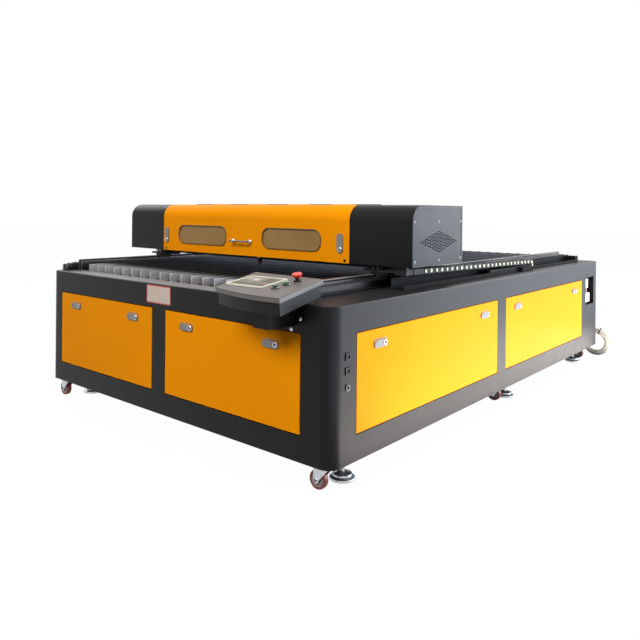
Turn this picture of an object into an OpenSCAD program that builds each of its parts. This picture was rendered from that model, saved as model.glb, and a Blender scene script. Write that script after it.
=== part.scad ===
// Flatbed carbon dioxide laser engraving machine: a sheet-metal cabinet with drop-down doors, a slatted bed,
// a gantry that travels along the bed with the laser tube and the cutting head, a console, casters and feet.
// +X runs to the right along the short front side, +Y runs to the back, +Z is up, the feet stand on Z = 0.

/* [Cabinet] */
// Length of the cabinet from front to back
body_l = 3020; // [2950:10:3300]
// Height of the cabinet's walls
body_h = 584; // [560:4:640]
// Height of the cabinet's floor above the ground
ground_gap = 105; // [100:1:130]
// Radius of the four upright corners
corner_r = 55; // [45:1:62]
// Thickness of the cabinet's sheet
sheet_t = 2; // [1.5:0.5:3]
// Thickness of the top deck
deck_t = 3; // [2:0.5:5]
// Leg of the frame's angle iron
angle_leg = 50; // [40:1:60]
// Thickness of the frame's angle iron
angle_t = 4; // [3:0.5:6]

/* [Doors] */
// Height of every door
door_h = 371; // [320:1:390]
// Height of the doors' lower edge above the cabinet's floor
door_rise = 102; // [90:1:110]
// Gap around a door
door_gap = 4; // [3:0.5:6]
// Distance from the cabinet's left side to the left front door
front_door_inset = 110; // [80:1:115]
// Distance between the two front doors
front_door_gap = 102; // [90:1:120]
// Distance from the right front door to the cabinet's right side
front_door_margin = 150; // [130:1:160]
// Distance from the cabinet's front to the first side door
side_door_inset = 150; // [140:1:160]
// Distance between the two side doors
side_door_gap = 105; // [90:1:120]
// Distance from the rear side door to the cabinet's back
side_door_margin = 351; // [345:1:380]
// Thickness of a door's sheet
door_t = 2; // [1:0.5:3]
// Depth of a door's folded edges
door_return = 20; // [16:1:24]
// Distance of a door's hinge pin from the door's face and lower edge
door_pivot = 6; // [5:0.5:8]
// Radius of a door's hinge pins
door_pin_r = 2.5; // [1.5:0.5:3]
// Thickness of the lip around each door opening
lip_t = 3; // [2:0.5:5]
// Depth of the lip around each door opening
lip_depth = 25; // [22:1:26]

/* [Latches] */
// Length of a door latch
latch_w = 88; // [76:1:100]
// Height of a door latch
latch_h = 30; // [26:1:36]
// Thickness of a latch paddle
latch_t = 5; // [4:0.5:6]
// Distance of a latch's centre from the side edge of its door
latch_inset = 150; // [100:1:200]
// Distance of a latch's centre below the top edge of its door
latch_drop = 58; // [40:1:80]
// Length of the hinge knuckle on a door latch
latch_knuckle = 44; // [30:1:50]
// Height of a cover latch
cover_latch_h = 92; // [80:1:100]
// Width of a cover latch
cover_latch_w = 37; // [32:1:42]
// Length of the hinge knuckle on a cover latch
cover_latch_knuckle = 18; // [14:1:20]

/* [Bed] */
// Distance from the cabinet's front to the bed opening
bed_front = 120; // [110:1:140]
// Distance from the bed opening to the cabinet's back
bed_back = 120; // [110:1:140]
// Distance between neighbouring knife slats
slat_pitch = 80; // [60:1:100]
// Thickness of a knife slat
slat_t = 5; // [3:0.5:8]
// Height of a knife slat
slat_h = 56; // [52:1:64]
// Height of the slats above the deck
slat_rise = 36; // [30:1:40]
// Depth of the dust tray below the deck
tray_depth = 110; // [80:1:200]
// Number of cross combs that carry the slats
comb_count = 5; // [3:1:8]

/* [Rails] */
// Distance between the two long rails
rail_span = 1633; // [1500:1:1800]
// Distance from the cabinet's left side to the left rail
left_margin = 72; // [70:1:90]
// Distance from the right rail to the cabinet's right side
right_margin = 275; // [270:1:320]
// Width of a rail beam
beam_w = 80; // [70:1:90]
// Height of a rail beam
beam_h = 40; // [36:1:46]
// Width of a steel rail
rail_w = 20; // [15:1:25]
// Height of a steel rail
rail_h = 18; // [15:1:20]
// Radius of the belt pulleys
pulley_r = 14; // [11:0.5:15]
// Radius of the drive shaft
shaft_r = 7; // [5:0.5:8]
// Width of a drive belt
belt_w = 16; // [10:1:18]
// Thickness of a drive belt
belt_t = 2; // [1:0.5:3]

/* [Gantry] */
// Distance from each rail to the gantry's side
gantry_overhang = 227; // [220:1:250]
// Depth of the gantry from front to back
gantry_d = 452; // [430:1:480]
// Height of the gantry's covers
gantry_h = 273; // [265:1:300]
// Height of the covers' lower edge above the deck
gantry_clear = 98; // [96:1:110]
// Distance from the cabinet's front to the gantry's front, at rest
gantry_y = 605; // [500:1:900]
// Width of the left end cover
left_cover_w = 334; // [320:1:345]
// Width of the right end cover
right_cover_w = 340; // [320:1:345]
// Radius of the covers' upper front edge
cover_r = 75; // [50:1:90]
// Thickness of the covers
cover_t = 2; // [1.5:0.5:3]
// Gap between the lifting cover and the end covers
cover_gap = 1.5; // [1:0.5:3]
// Distance from the gantry's front to the lifting cover's hinge
hinge_y = 255; // [240:1:270]
// Radius of the lifting cover's hinge barrel
barrel_r = 4; // [3.5:0.5:5]

/* [Lifting cover] */
// Left window's share of the two windows' width
left_window_share = 0.5105; // [0.45:0.0005:0.55]
// Height of the windows
window_h = 105; // [90:1:115]
// Corner radius of the windows
window_r = 45; // [20:1:45]
// Height of the windows' lower edge above the cover's lower edge
window_rise = 47; // [35:1:55]
// Distance from the lifting cover's left edge to the left window
left_window_margin = 152; // [140:1:170]
// Distance between the two windows
window_gap = 279; // [240:1:300]
// Distance from the right window to the lifting cover's right edge
right_window_margin = 173; // [150:1:190]
// Thickness of the window panes
pane_t = 3; // [2:0.5:5]
// Length of the handle
handle_w = 140; // [110:1:160]
// Distance of the handle's bar from the cover
handle_reach = 32; // [28:1:40]
// Radius of the handle's bar
handle_r = 5; // [4:0.5:6]

/* [Laser] */
// Sideways place of the laser head, measured from the cabinet's middle
head_x = -25; // [-60:1:60]
// Gap between the nozzle and the slats, at rest
nozzle_gap = 18; // [15:1:24]
// Radius of the focus tube
focus_r = 14; // [11:0.5:15]
// Radius of the laser tube
tube_r = 40; // [30:1:42]
// Distance from the left rail to the laser tube's end
tube_lead = 38.5; // [36:0.5:60]
// How far the laser tube's end stands out past the right rail
tube_tail = 55.5; // [20:0.5:60]

/* [Console] */
// Tilt of the console towards the front
console_tilt = 7; // [5:0.5:9]
// Height of the console's top above the deck at the cabinet's front
console_rise = 72; // [70:1:80]
// Thickness of the console's top plate
console_plate_t = 17; // [14:1:20]
// Depth of the console's box below its top plate
console_box_h = 48; // [38:1:50]
// Overhang of the top plate around the box
console_lip = 8; // [5:1:12]
// Distance of the console's button row from the cabinet's right side
console_side = 190; // [180:1:200]
// How far the console's curved edge stands out in front of the cabinet
console_nose = 207; // [200:1:225]
// Radius of the curved front edge
console_front_r = 1036; // [1000:1:1100]
// Width of the keypad's frame
keypad_w = 193; // [170:1:200]
// Depth of the keypad's frame
keypad_d = 148; // [130:1:152]
// Radius of the emergency stop's mushroom
estop_r = 20; // [16:0.5:22]

/* [Casters and feet] */
// Radius of a caster wheel
wheel_r = 37.5; // [34:0.5:38]
// Width of a caster wheel
wheel_w = 28; // [22:1:30]
// Gap between the caster wheels and the ground while the machine stands on its feet
wheel_lift = 2; // [1:0.5:5]
// Distance from a caster's pivot to its axle
trail = 30; // [24:1:32]
// Radius of a levelling foot
foot_r = 50; // [40:1:54]
// Radius of a levelling foot's spindle
spindle_r = 8; // [6:0.5:10]

/* [Cable chain] */
// Width of a chain link
chain_w = 60; // [50:1:62]
// Height of a chain link
chain_h = 28; // [24:1:29]
// Distance between neighbouring link pins
chain_pitch = 49; // [45:1:55]

/* [Water hose] */
// Diameter of the hose
hose_d = 14; // [13:0.5:14.5]
// Radius of the hose coil at the middle of its turns
coil_r = 79; // [76:1:82]

/* [Hidden] */
$fn = 48;

// Clearances
run_fit = 0.05;      // radial clearance of a pin or shaft in its bore
seat_gap = 0.3;      // gap at a seat between pieces that move apart
eps = 1;             // overshoot of a cut

// Levels
floor_z = ground_gap + sheet_t;
body_top = ground_gap + body_h;
deck_z = body_top - deck_t;
slat_top = body_top + slat_rise;
slat_z = slat_top - slat_h;
beam_top = body_top + beam_h;
rail_top = beam_top + rail_h;
gantry_z = body_top + gantry_clear;
gantry_top = gantry_z + gantry_h;
door_z = ground_gap + door_rise;

// Sideways and lengthwise places
body_w = left_margin + rail_span + right_margin;
gantry_x = (left_margin - right_margin) / 2;
gantry_w = rail_span + 2 * gantry_overhang;
front_door_w = (body_w - front_door_inset - front_door_gap - front_door_margin) / 2;
front_door_pitch = front_door_w + front_door_gap;
side_door_w = (body_l - side_door_inset - side_door_gap - side_door_margin) / 2;
side_door_pitch = side_door_w + side_door_gap;
right_rail_x = gantry_x + rail_span / 2;
left_rail_x = gantry_x - rail_span / 2;
gantry_left = gantry_x - gantry_w / 2;
gantry_right = gantry_x + gantry_w / 2;
lift_left = gantry_left + left_cover_w;
lift_right = gantry_right - right_cover_w;
lift_w = lift_right - lift_left;
windows_w = lift_w - left_window_margin - window_gap - right_window_margin;
left_window_w = windows_w * left_window_share;
right_window_w = windows_w - left_window_w;
right_window_x = left_window_margin + left_window_w + window_gap;
bed_left = left_rail_x + beam_w / 2 + 10;
bed_right = right_rail_x - beam_w / 2 - 10;
bed_end = body_l - bed_back;
latch_boss_t = 2;
latch_proud = seat_gap + latch_t + latch_boss_t;
duct_l = 60;
duct_r = 75;
centre_x = (gantry_left + body_w / 2 + latch_proud) / 2;
centre_y = (body_l + duct_l - console_nose * cos(console_tilt)) / 2;

// Puts everything around the origin, which is the middle of the machine's outline on the ground
module placed() {
    translate([-centre_x, -centre_y, 0]) children();
}

// Rectangle with round corners, centred
module round_rect(w, l, r) {
    square([w - 2 * r, l], center = true);
    square([w, l - 2 * r], center = true);
    for (sx = [-1, 1], sy = [-1, 1]) {
        translate([sx * (w / 2 - r), sy * (l / 2 - r)]) circle(r);
    }
}

// Oblong with round ends, centred
module oblong(w, h) {
    square([w - h, h], center = true);
    for (s = [-1, 1]) {
        translate([s * (w - h) / 2, 0]) circle(h / 2);
    }
}

// Cylinder along +X from x0 to x1
module rod_x(x0, x1, r) {
    translate([x0, 0, 0]) rotate([0, 90, 0]) cylinder(h = x1 - x0, r = r);
}

// Cylinder along +Y from y0 to y1
module rod_y(y0, y1, r) {
    translate([0, y0, 0]) rotate([-90, 0, 0]) cylinder(h = y1 - y0, r = r);
}

// Plan of the cabinet, moved inwards by inset
module body_plan(inset) {
    translate([0, body_l / 2]) round_rect(body_w - 2 * inset, body_l - 2 * inset, corner_r - inset);
}

// Puts a child that is extruded along +Z into an upright plane across X, extruded along +X from x0
module along_x(x0, x1) {
    translate([x0, 0, 0]) rotate([90, 0, 90]) linear_extrude(x1 - x0) children();
}

// ---- Cabinet ----

// A door's frame of reference: X along the door, Y inwards from its face, Z up from its lower edge
module front_door_place(i) {
    translate([-body_w / 2 + front_door_inset + i * front_door_pitch, 0, door_z]) children();
}

module side_place(y, z) {
    translate([body_w / 2, y, z]) rotate([0, 0, 90]) children();
}

module side_door_place(i) {
    side_place(side_door_inset + i * side_door_pitch, door_z) children();
}

module door_opening(w) {
    translate([-door_gap, -lip_depth, -door_gap])
        cube([w + 2 * door_gap, 2 * lip_depth, door_h + 2 * door_gap]);
}

module door_lip(w) {
    outer = door_gap + lip_t;
    difference() {
        translate([-outer, 0, -outer]) cube([w + 2 * outer, lip_depth, door_h + 2 * outer]);
        translate([-door_gap, -eps, -door_gap])
            cube([w + 2 * door_gap, lip_depth + 2 * eps, door_h + 2 * door_gap]);
        for (x = [-outer - eps, w + door_gap - eps]) {
            translate([0, door_pivot, door_pivot]) rod_x(x, x + lip_t + 2 * eps, door_pin_r + run_fit);
        }
    }
}

recess_y = -266;           // front edge of the power recess, measured from the cabinet's back
recess_z = 299;            // lower edge of the power recess, measured from the cabinet's floor
recess_w = 166;
recess_h = 186;
recess_depth = 45;

module recess_place() {
    side_place(body_l + recess_y, ground_gap + recess_z) children();
}

module recess_pan() {
    difference() {
        translate([-sheet_t, 0, -sheet_t])
            cube([recess_w + 2 * sheet_t, recess_depth + sheet_t, recess_h + 2 * sheet_t]);
        translate([0, -eps, 0]) cube([recess_w, recess_depth + eps, recess_h]);
    }
}

duct_x = 450;      // sideways place of each exhaust collar
duct_z = 275;      // height of the collars' middle above the cabinet's floor

module duct_places() {
    for (s = [-1, 1]) {
        translate([s * duct_x, 0, ground_gap + duct_z]) children();
    }
}

// Places of the casters and feet along the right side, measured from the front
caster_x = body_w / 2 - 75;
foot_x = body_w / 2 - 100;
caster_front = 62;
caster_middle = 43;             // middle caster's distance behind the cabinet's middle
caster_back = 100;
foot_front = 195;
foot_middle = 166;
foot_back = 220;
caster_ys = [caster_front, body_l / 2 + caster_middle, body_l - caster_back];
foot_ys = [foot_front, body_l / 2 + foot_middle, body_l - foot_back];
spindle_gap = 0.3;

module cabinet_shell() {
    color("dimgray") placed() difference() {
        union() {
            difference() {
                translate([0, 0, ground_gap]) linear_extrude(body_h) body_plan(0);
                translate([0, 0, floor_z]) linear_extrude(body_h) body_plan(sheet_t);
                for (i = [0, 1]) {
                    front_door_place(i) door_opening(front_door_w);
                    side_door_place(i) door_opening(side_door_w);
                }
                recess_place() translate([0, -eps, 0]) cube([recess_w, recess_depth, recess_h]);
            }
            for (i = [0, 1]) {
                front_door_place(i) door_lip(front_door_w);
                side_door_place(i) door_lip(side_door_w);
            }
            recess_place() recess_pan();
            duct_places() rod_y(body_l - sheet_t, body_l + duct_l, duct_r);
        }
        duct_places() rod_y(body_l - 2 * sheet_t, body_l + duct_l + eps, duct_r - sheet_t);
        for (s = [-1, 1], y = foot_ys) {
            translate([s * foot_x, y, ground_gap - eps])
                cylinder(h = sheet_t + 2 * eps, r = spindle_r + spindle_gap);
        }
    }
}

frame_inset = sheet_t + lip_depth + 2;

weld_gap = 0.2;                 // gap between neighbouring bars of the frame, taken up by their weld

// Profile of an angle iron with its corner at the origin and its legs towards su and sv
module angle_profile(su, sv) {
    polygon([[0, 0], [su * angle_leg, 0], [su * angle_leg, sv * angle_t], [su * angle_t, sv * angle_t],
        [su * angle_t, sv * angle_leg], [0, sv * angle_leg]]);
}

// Ring of four bars: sz is 1 with the flat leg at z and the other leg upwards, -1 the other way round
module angle_ring(z, sz) {
    edge_x = body_w / 2 - frame_inset;
    for (end = [0, 1]) {
        translate([0, end == 0 ? frame_inset : body_l - frame_inset, z])
            along_x(-edge_x, edge_x) angle_profile(end == 0 ? 1 : -1, sz);
    }
    for (s = [-1, 1]) {
        translate([s * edge_x, body_l - frame_inset - angle_leg - weld_gap, z]) rotate([90, 0, 0])
            linear_extrude(body_l - 2 * (frame_inset + angle_leg + weld_gap)) angle_profile(-s, sz);
    }
}

// Upright bar between the two rings with its corner at x, y and its legs towards sx, sy
module angle_post(x, y, sx, sy) {
    z0 = floor_z + angle_leg + weld_gap;
    translate([x, y, z0]) linear_extrude(deck_z - angle_leg - weld_gap - z0) angle_profile(sx, sy);
}

caster_plate_t = 4;
caster_plate_w = 70;
kingpin_r = 5;
crown_t = 4;
race_r = 20;
race_t = 3.7;
crown_z = ground_gap - caster_plate_t - seat_gap - race_t;
kingpin_head_t = 3;

module caster_plate() {
    translate([-caster_plate_w / 2, -caster_plate_w / 2, ground_gap - caster_plate_t])
        cube([caster_plate_w, caster_plate_w, caster_plate_t]);
    translate([0, 0, crown_z - crown_t - seat_gap - eps])
        cylinder(h = ground_gap - crown_z + crown_t + seat_gap - caster_plate_t / 2, r = kingpin_r);
    translate([0, 0, crown_z - crown_t - seat_gap - kingpin_head_t])
        cylinder(h = kingpin_head_t, r = kingpin_r + 4);
}

module base_frame() {
    edge_x = body_w / 2 - frame_inset;
    far_y = body_l - frame_inset;
    middle_y = side_door_inset + (side_door_pitch + side_door_w) / 2;
    color("darkslategray") placed() {
        angle_ring(floor_z, 1);
        angle_ring(deck_z, -1);
        for (s = [-1, 1]) {
            angle_post(s * edge_x, frame_inset, -s, 1);
            angle_post(s * edge_x, far_y, -s, -1);
            angle_post(s * edge_x, middle_y, -s, 1);
        }
        angle_post(-body_w / 2 + front_door_inset + (front_door_pitch + front_door_w) / 2, frame_inset, 1, 1);
        angle_post(0, far_y, 1, -1);
        for (s = [-1, 1], y = caster_ys) {
            translate([s * caster_x, y, 0]) caster_plate();
        }
    }
}

module top_deck() {
    color("gray") placed() difference() {
        translate([0, 0, deck_z]) linear_extrude(deck_t) body_plan(sheet_t + seat_gap);
        translate([bed_left, bed_front, deck_z - eps])
            cube([bed_right - bed_left, bed_end - bed_front, deck_t + 2 * eps]);
    }
}

slat_margin = 40;       // least room between the bed's side and its outer slat
slat_count = floor((bed_right - bed_left - 2 * slat_margin) / slat_pitch) + 1;
first_slat = bed_left + ((bed_right - bed_left) - (slat_count - 1) * slat_pitch) / 2;
slat_end_gap = 3;
comb_t = 8;
comb_inset = 40;        // distance from the bed's ends to the outer combs
comb_grip = 17;         // depth that the slats stand down in the combs
comb_z = slat_z + comb_grip;
slot_gap = 0.3;

module dust_tray() {
    w = bed_right - bed_left;
    l = bed_end - bed_front;
    bottom = deck_z - tray_depth;
    comb_step = (l - 2 * comb_inset - comb_t) / (comb_count - 1);
    color("slategray") placed() difference() {
        union() {
            difference() {
                translate([bed_left + seat_gap, bed_front + seat_gap, bottom])
                    cube([w - 2 * seat_gap, l - 2 * seat_gap, tray_depth + deck_t]);
                translate([bed_left + sheet_t, bed_front + sheet_t, bottom + sheet_t])
                    cube([w - 2 * sheet_t, l - 2 * sheet_t, tray_depth + deck_t]);
            }
            for (i = [0:comb_count - 1]) {
                translate([bed_left + eps, bed_front + comb_inset + i * comb_step, bottom])
                    cube([w - 2 * eps, comb_t, comb_z - bottom]);
            }
        }
        for (i = [0:comb_count - 1], k = [0:slat_count - 1]) {
            x = first_slat + k * slat_pitch - slat_t / 2 - slot_gap;
            translate([x, bed_front + comb_inset + i * comb_step - eps, slat_z])
                cube([slat_t + 2 * slot_gap, comb_t + 2 * eps, slat_h]);
        }
    }
}

module knife_slats() {
    color("lightgray") placed() for (k = [0:slat_count - 1]) {
        translate([first_slat + k * slat_pitch - slat_t / 2, bed_front + slat_end_gap, slat_z])
            cube([slat_t, bed_end - bed_front - 2 * slat_end_gap, slat_h]);
    }
}

// ---- Doors and latches ----

ear_t = 3;
ear_gap = 0.5;
knuckle_r = latch_t / 2;
latch_pin_r = 1;
latch_y = -seat_gap - knuckle_r;    // depth of a latch's pivot in front of the face

// Two ears that hold a latch's pins, around the latch's centre on a face at Y = 0
module latch_ears(h, knuckle) {
    for (s = [-1, 1]) {
        difference() {
            translate([s * (knuckle / 2 + ear_gap + ear_t / 2) - ear_t / 2, latch_y - knuckle_r, h / 2 - latch_t])
                cube([ear_t, knuckle_r - latch_y + eps, latch_t]);
            translate([0, latch_y, h / 2 - knuckle_r])
                rod_x(-knuckle, knuckle, latch_pin_r + run_fit);
        }
    }
}

// Latch paddle around its centre: a round-ended plate that swings out about a pin at its upper edge
module latch_paddle(w, h, knuckle, boss_x, boss_z) {
    pivot_z = h / 2 - knuckle_r;
    notch_w = ear_t + 2 * ear_gap;
    notch_z = pivot_z - 1.5 * knuckle_r - ear_gap;
    difference() {
        union() {
            translate([0, -seat_gap, 0]) rotate([90, 0, 0]) linear_extrude(latch_t)
                rotate([0, 0, w > h ? 0 : 90]) oblong(max(w, h), min(w, h));
            translate([boss_x, 0, boss_z]) rod_y(-latch_proud, -seat_gap - latch_t / 2, latch_h / 3);
        }
        translate([-w, -latch_proud - eps, pivot_z]) cube([2 * w, latch_proud + eps, h]);
        for (s = [-1, 1]) {
            translate([s * (knuckle / 2 + notch_w / 2) - notch_w / 2, -latch_proud - eps, notch_z])
                cube([notch_w, latch_proud + eps, h]);
        }
    }
    translate([0, latch_y, pivot_z]) {
        rod_x(-knuckle / 2, knuckle / 2, knuckle_r);
        rod_x(-knuckle / 2 - ear_gap - ear_t, knuckle / 2 + ear_gap + ear_t, latch_pin_r);
    }
}

module door_latch_places(w) {
    for (x = [latch_inset, w - latch_inset]) {
        translate([x, 0, door_h - latch_drop]) children();
    }
}

module door_panel(w) {
    outer = door_gap + lip_t + eps;
    difference() {
        cube([w, door_return, door_h]);
        translate([door_t, door_t, door_t]) cube([w - 2 * door_t, door_return, door_h - 2 * door_t]);
    }
    translate([0, door_pivot, door_pivot]) {
        rod_x(-outer, door_t, door_pin_r);
        rod_x(w - door_t, w + outer, door_pin_r);
    }
    door_latch_places(w) latch_ears(latch_h, latch_knuckle);
}

module door_latches(w) {
    door_latch_places(w) latch_paddle(latch_w, latch_h, latch_knuckle, latch_w / 2 - latch_h / 2 - 2, 0);
}

module door_front_left() {
    color("orange") placed() front_door_place(0) door_panel(front_door_w);
}

module door_front_right() {
    color("orange") placed() front_door_place(1) door_panel(front_door_w);
}

module door_side_front() {
    color("orange") placed() side_door_place(0) door_panel(side_door_w);
}

module door_side_rear() {
    color("orange") placed() side_door_place(1) door_panel(side_door_w);
}

module latches_front_left() {
    color("silver") placed() front_door_place(0) door_latches(front_door_w);
}

module latches_front_right() {
    color("silver") placed() front_door_place(1) door_latches(front_door_w);
}

module latches_side_front() {
    color("silver") placed() side_door_place(0) door_latches(side_door_w);
}

module latches_side_rear() {
    color("silver") placed() side_door_place(1) door_latches(side_door_w);
}

// ---- Rails and drive along the bed ----

rail_front = bed_front - 2;
rail_back = body_l - 25;
shaft_z = body_top + 23;             // height of the belt pulleys' axis
idler_y = rail_front + 12;
drive_y = rail_back - 50;
pulley_x0 = beam_w / 2 + 3;          // inner end of a pulley, measured outwards from its rail
pulley_w = belt_w + 6;
flange_t = 1.5;
idler_pin_r = 5;

// Puts a child at both rails, mirrored, with +X pointing outwards from the rail
module at_rails() {
    translate([right_rail_x, 0, 0]) children();
    translate([left_rail_x, 0, 0]) mirror([1, 0, 0]) children();
}

module beam_profile() {
    slot = 8;
    difference() {
        translate([-beam_w / 2, 0]) square([beam_w, beam_h]);
        for (s = [-1, 1]) {
            translate([s * beam_w / 2 - slot / 2, beam_h * 0.3 - slot / 2]) square([slot, slot]);
            translate([s * beam_w / 4 - slot / 2, beam_h - slot / 2]) square([slot, slot]);
        }
    }
}

module rail_beam() {
    difference() {
        translate([0, rail_back, body_top]) rotate([90, 0, 0]) linear_extrude(rail_back - rail_front)
            beam_profile();
        translate([0, drive_y, shaft_z]) rod_x(-beam_w, beam_w, shaft_r + run_fit);
    }
    translate([0, idler_y, shaft_z]) {
        rod_x(0, pulley_x0 + pulley_w + seat_gap + eps, idler_pin_r);
        rod_x(pulley_x0 + pulley_w + seat_gap, pulley_x0 + pulley_w + seat_gap + 2, idler_pin_r + 3);
    }
}

module y_beams() {
    color("black") placed() at_rails() rail_beam();
}

module rail_profile() {
    waist = rail_w * 0.15;
    polygon([[-rail_w / 2, 0], [rail_w / 2, 0], [rail_w / 2, rail_h * 0.3], [rail_w / 2 - waist, rail_h * 0.5],
        [rail_w / 2, rail_h * 0.75], [rail_w / 2, rail_h], [-rail_w / 2, rail_h], [-rail_w / 2, rail_h * 0.75],
        [-rail_w / 2 + waist, rail_h * 0.5], [-rail_w / 2, rail_h * 0.3]]);
}

module y_rails() {
    color("silver") placed() at_rails()
        translate([0, rail_back - 5, beam_top]) rotate([90, 0, 0])
            linear_extrude(rail_back - rail_front - 10) rail_profile();
}

module pulley() {
    rod_x(pulley_x0, pulley_x0 + pulley_w, pulley_r);
    rod_x(pulley_x0, pulley_x0 + flange_t, pulley_r + 4);
    rod_x(pulley_x0 + pulley_w - flange_t, pulley_x0 + pulley_w, pulley_r + 4);
}

module front_idlers() {
    color("silver") placed() at_rails() translate([0, idler_y, shaft_z]) difference() {
        pulley();
        rod_x(0, beam_w, idler_pin_r + run_fit);
    }
}

module drive_shaft() {
    reach = pulley_x0 + pulley_w;
    color("silver") placed() {
        translate([0, drive_y, shaft_z]) rod_x(left_rail_x - reach, right_rail_x + reach, shaft_r);
        at_rails() translate([0, drive_y, shaft_z]) pulley();
    }
}

belt_inner = pulley_r + seat_gap;

module belt_loop(r, y0, y1) {
    translate([y0, -r]) square([y1 - y0, 2 * r]);
    translate([y0, 0]) circle(r);
    translate([y1, 0]) circle(r);
}

module y_belts() {
    x0 = pulley_x0 + (pulley_w - belt_w) / 2;
    color("black") placed() at_rails() translate([0, 0, shaft_z]) along_x(x0, x0 + belt_w) difference() {
        belt_loop(belt_inner + belt_t, idler_y, drive_y);
        belt_loop(belt_inner, idler_y, drive_y);
    }
}

motor_w = 60;
motor_l = 110;
gearbox_w = 44;

// Motor with its gearbox around the drive shaft, on a foot that stands on the deck
module y_motor() {
    x0 = gantry_x - motor_l / 2;
    color("black") placed() difference() {
        union() {
            translate([x0, drive_y - gearbox_w / 2, body_top])
                cube([gearbox_w, gearbox_w, shaft_z - body_top + 22]);
            translate([x0 - motor_l, drive_y - motor_w / 2 + 4, body_top])
                cube([motor_l + eps, motor_w - 24, 14]);
        }
        translate([0, drive_y, shaft_z]) rod_x(x0 - 2 * motor_l, x0 + 2 * motor_l, shaft_r + run_fit);
    }
}

// ---- Cable chain ----

chain_x = body_w / 2 - 120;                 // middle of the chain
chain_seat = 40;                            // end of the upper run behind the gantry's front
chain_lug_t = 19;
chain_front = gantry_y + chain_seat;
chain_bend = body_l * 0.672;                // middle of the bend
tray_t = 2;
lower_z = body_top + tray_t + chain_h / 2;  // middle of the lower run
bend_r = chain_h / 2 + 1;
upper_z0 = gantry_z - 10 - chain_h / 2;     // middle of the upper run, at the gantry
upper_z1 = lower_z + 2 * bend_r;            // middle of the upper run, at the bend
chain_end = chain_bend - 11 * chain_pitch;
upper_links = floor((chain_bend - chain_front) / chain_pitch);

// One link around its middle, seen from the outside: plates, core and the pin's round end
module chain_link(l) {
    translate([-chain_w / 2, -l / 2 + 2, -chain_h / 2]) cube([chain_w, l - 4, chain_h]);
    translate([-chain_w / 2 + 2, -l / 2, -chain_h / 2 + 3]) cube([chain_w - 4, l, chain_h - 6]);
    rod_x(-chain_w / 2 - 1, chain_w / 2 + 1, chain_h * 0.22);
}

module cable_chain() {
    step = (chain_bend - chain_front) / upper_links;
    slope = atan((upper_z0 - upper_z1) / (chain_bend - chain_front));
    color("dimgray") placed() translate([chain_x, 0, 0]) {
        for (i = [0:upper_links - 1]) {
            share = (i + 0.5) / upper_links;
            translate([0, chain_front + (i + 0.5) * step, upper_z0 + (upper_z1 - upper_z0) * share])
                rotate([-slope, 0, 0]) chain_link(step + 0.5);
        }
        for (i = [0:10]) {
            translate([0, chain_end + (i + 0.5) * chain_pitch, lower_z]) chain_link(chain_pitch + 0.5);
        }
        translate([0, chain_bend, (lower_z + upper_z1) / 2]) along_x(-chain_w / 2 + 2, chain_w / 2 - 2)
            intersection() {
                circle(bend_r + chain_h / 2);
                translate([-eps, -chain_w]) square([chain_w, 2 * chain_w]);
            }
        translate([0, chain_bend + bend_r * 0.65, (lower_z + upper_z1) / 2 - bend_r * 0.75])
            rod_x(-chain_w / 2 - 1, chain_w / 2 + 1, chain_h * 0.22);
    }
}

chain_end_gap = 0.8;    // gap between the chain's sloping end and its lug
tray_play = 2;          // gap between the chain and the tray's walls
tray_inner_h = 48;
tray_outer_h = 18;

module chain_tray() {
    half = chain_w / 2 + tray_play + tray_t;
    front = gantry_y - 5;
    back = body_l - 170;
    color("black") placed() translate([chain_x, 0, body_top]) {
        translate([-half, front, 0]) cube([2 * half, back - front, tray_t]);
        translate([-half, front, 0]) cube([tray_t, back - front, tray_inner_h]);
        translate([half - tray_t, front, 0]) cube([tray_t, back - front, tray_outer_h]);
        translate([-half, back - 60, 0]) cube([2 * half, 60, tray_inner_h - 6]);
        translate([half - tray_t, chain_bend - 200, 0]) cube([24, 160, 25]);
    }
}

// ---- Console ----

console_x = body_w / 2 - console_side;

// Frame of reference of the console: its top is the plane Z = 0, X = 0 is the row of buttons
module on_console() {
    translate([console_x, 0, body_top + console_rise]) rotate([console_tilt, 0, 0]) children();
}

// Corners of the console's sides in its own plane, and the way each moves when it is drawn in
console_corners = [[-212, -300], [146, -300], [67, 97], [-305, 108]];
console_inwards = [[1, 0], [-1, 0], [-1, -1], [1, -1]];
console_mid = 50;

// Plan of the console: a fan with a curved front edge, drawn in inwards by inset
module console_plan(inset) {
    intersection() {
        polygon([for (k = [0:3]) console_corners[k] + inset * console_inwards[k]]);
        translate([console_mid, console_front_r - console_nose]) circle(console_front_r - inset, $fn = 240);
    }
}

console_wall = 2;
button_x = 0;
estop_y = 28;
start_y = -32;
pulse_y = -92;
bezel_h = 6;
bezel_r = 15;
stem_r = 7;
arm_w = 80;
arm_x0 = console_x - 70;
arm_x1 = arm_x0 + arm_w;
arm_front = -131;
arm_drop = 84;                // lower edge of the arm below the cabinet's top
console_depth = console_plate_t + console_box_h;

module console_box() {
    color("dimgray") placed() on_console() difference() {
        union() {
            translate([0, 0, -console_plate_t]) linear_extrude(console_plate_t) console_plan(0);
            translate([0, 0, -console_depth]) linear_extrude(console_box_h + eps) console_plan(console_lip);
            for (y = [estop_y, start_y, pulse_y]) {
                translate([button_x, y, -eps]) cylinder(h = bezel_h + eps, r = bezel_r);
            }
        }
        translate([0, 0, -console_depth + console_wall]) linear_extrude(console_depth - 2 * console_wall)
            console_plan(console_lip + console_wall);
        for (y = [estop_y, start_y, pulse_y]) {
            translate([button_x, y, -console_plate_t])
                cylinder(h = 2 * console_plate_t, r = stem_r + run_fit);
        }
        translate([(arm_x0 + arm_x1) / 2 - console_x, -70, -console_depth - eps])
            cylinder(h = 2 * console_wall + eps, r = 15);
    }
}

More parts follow.
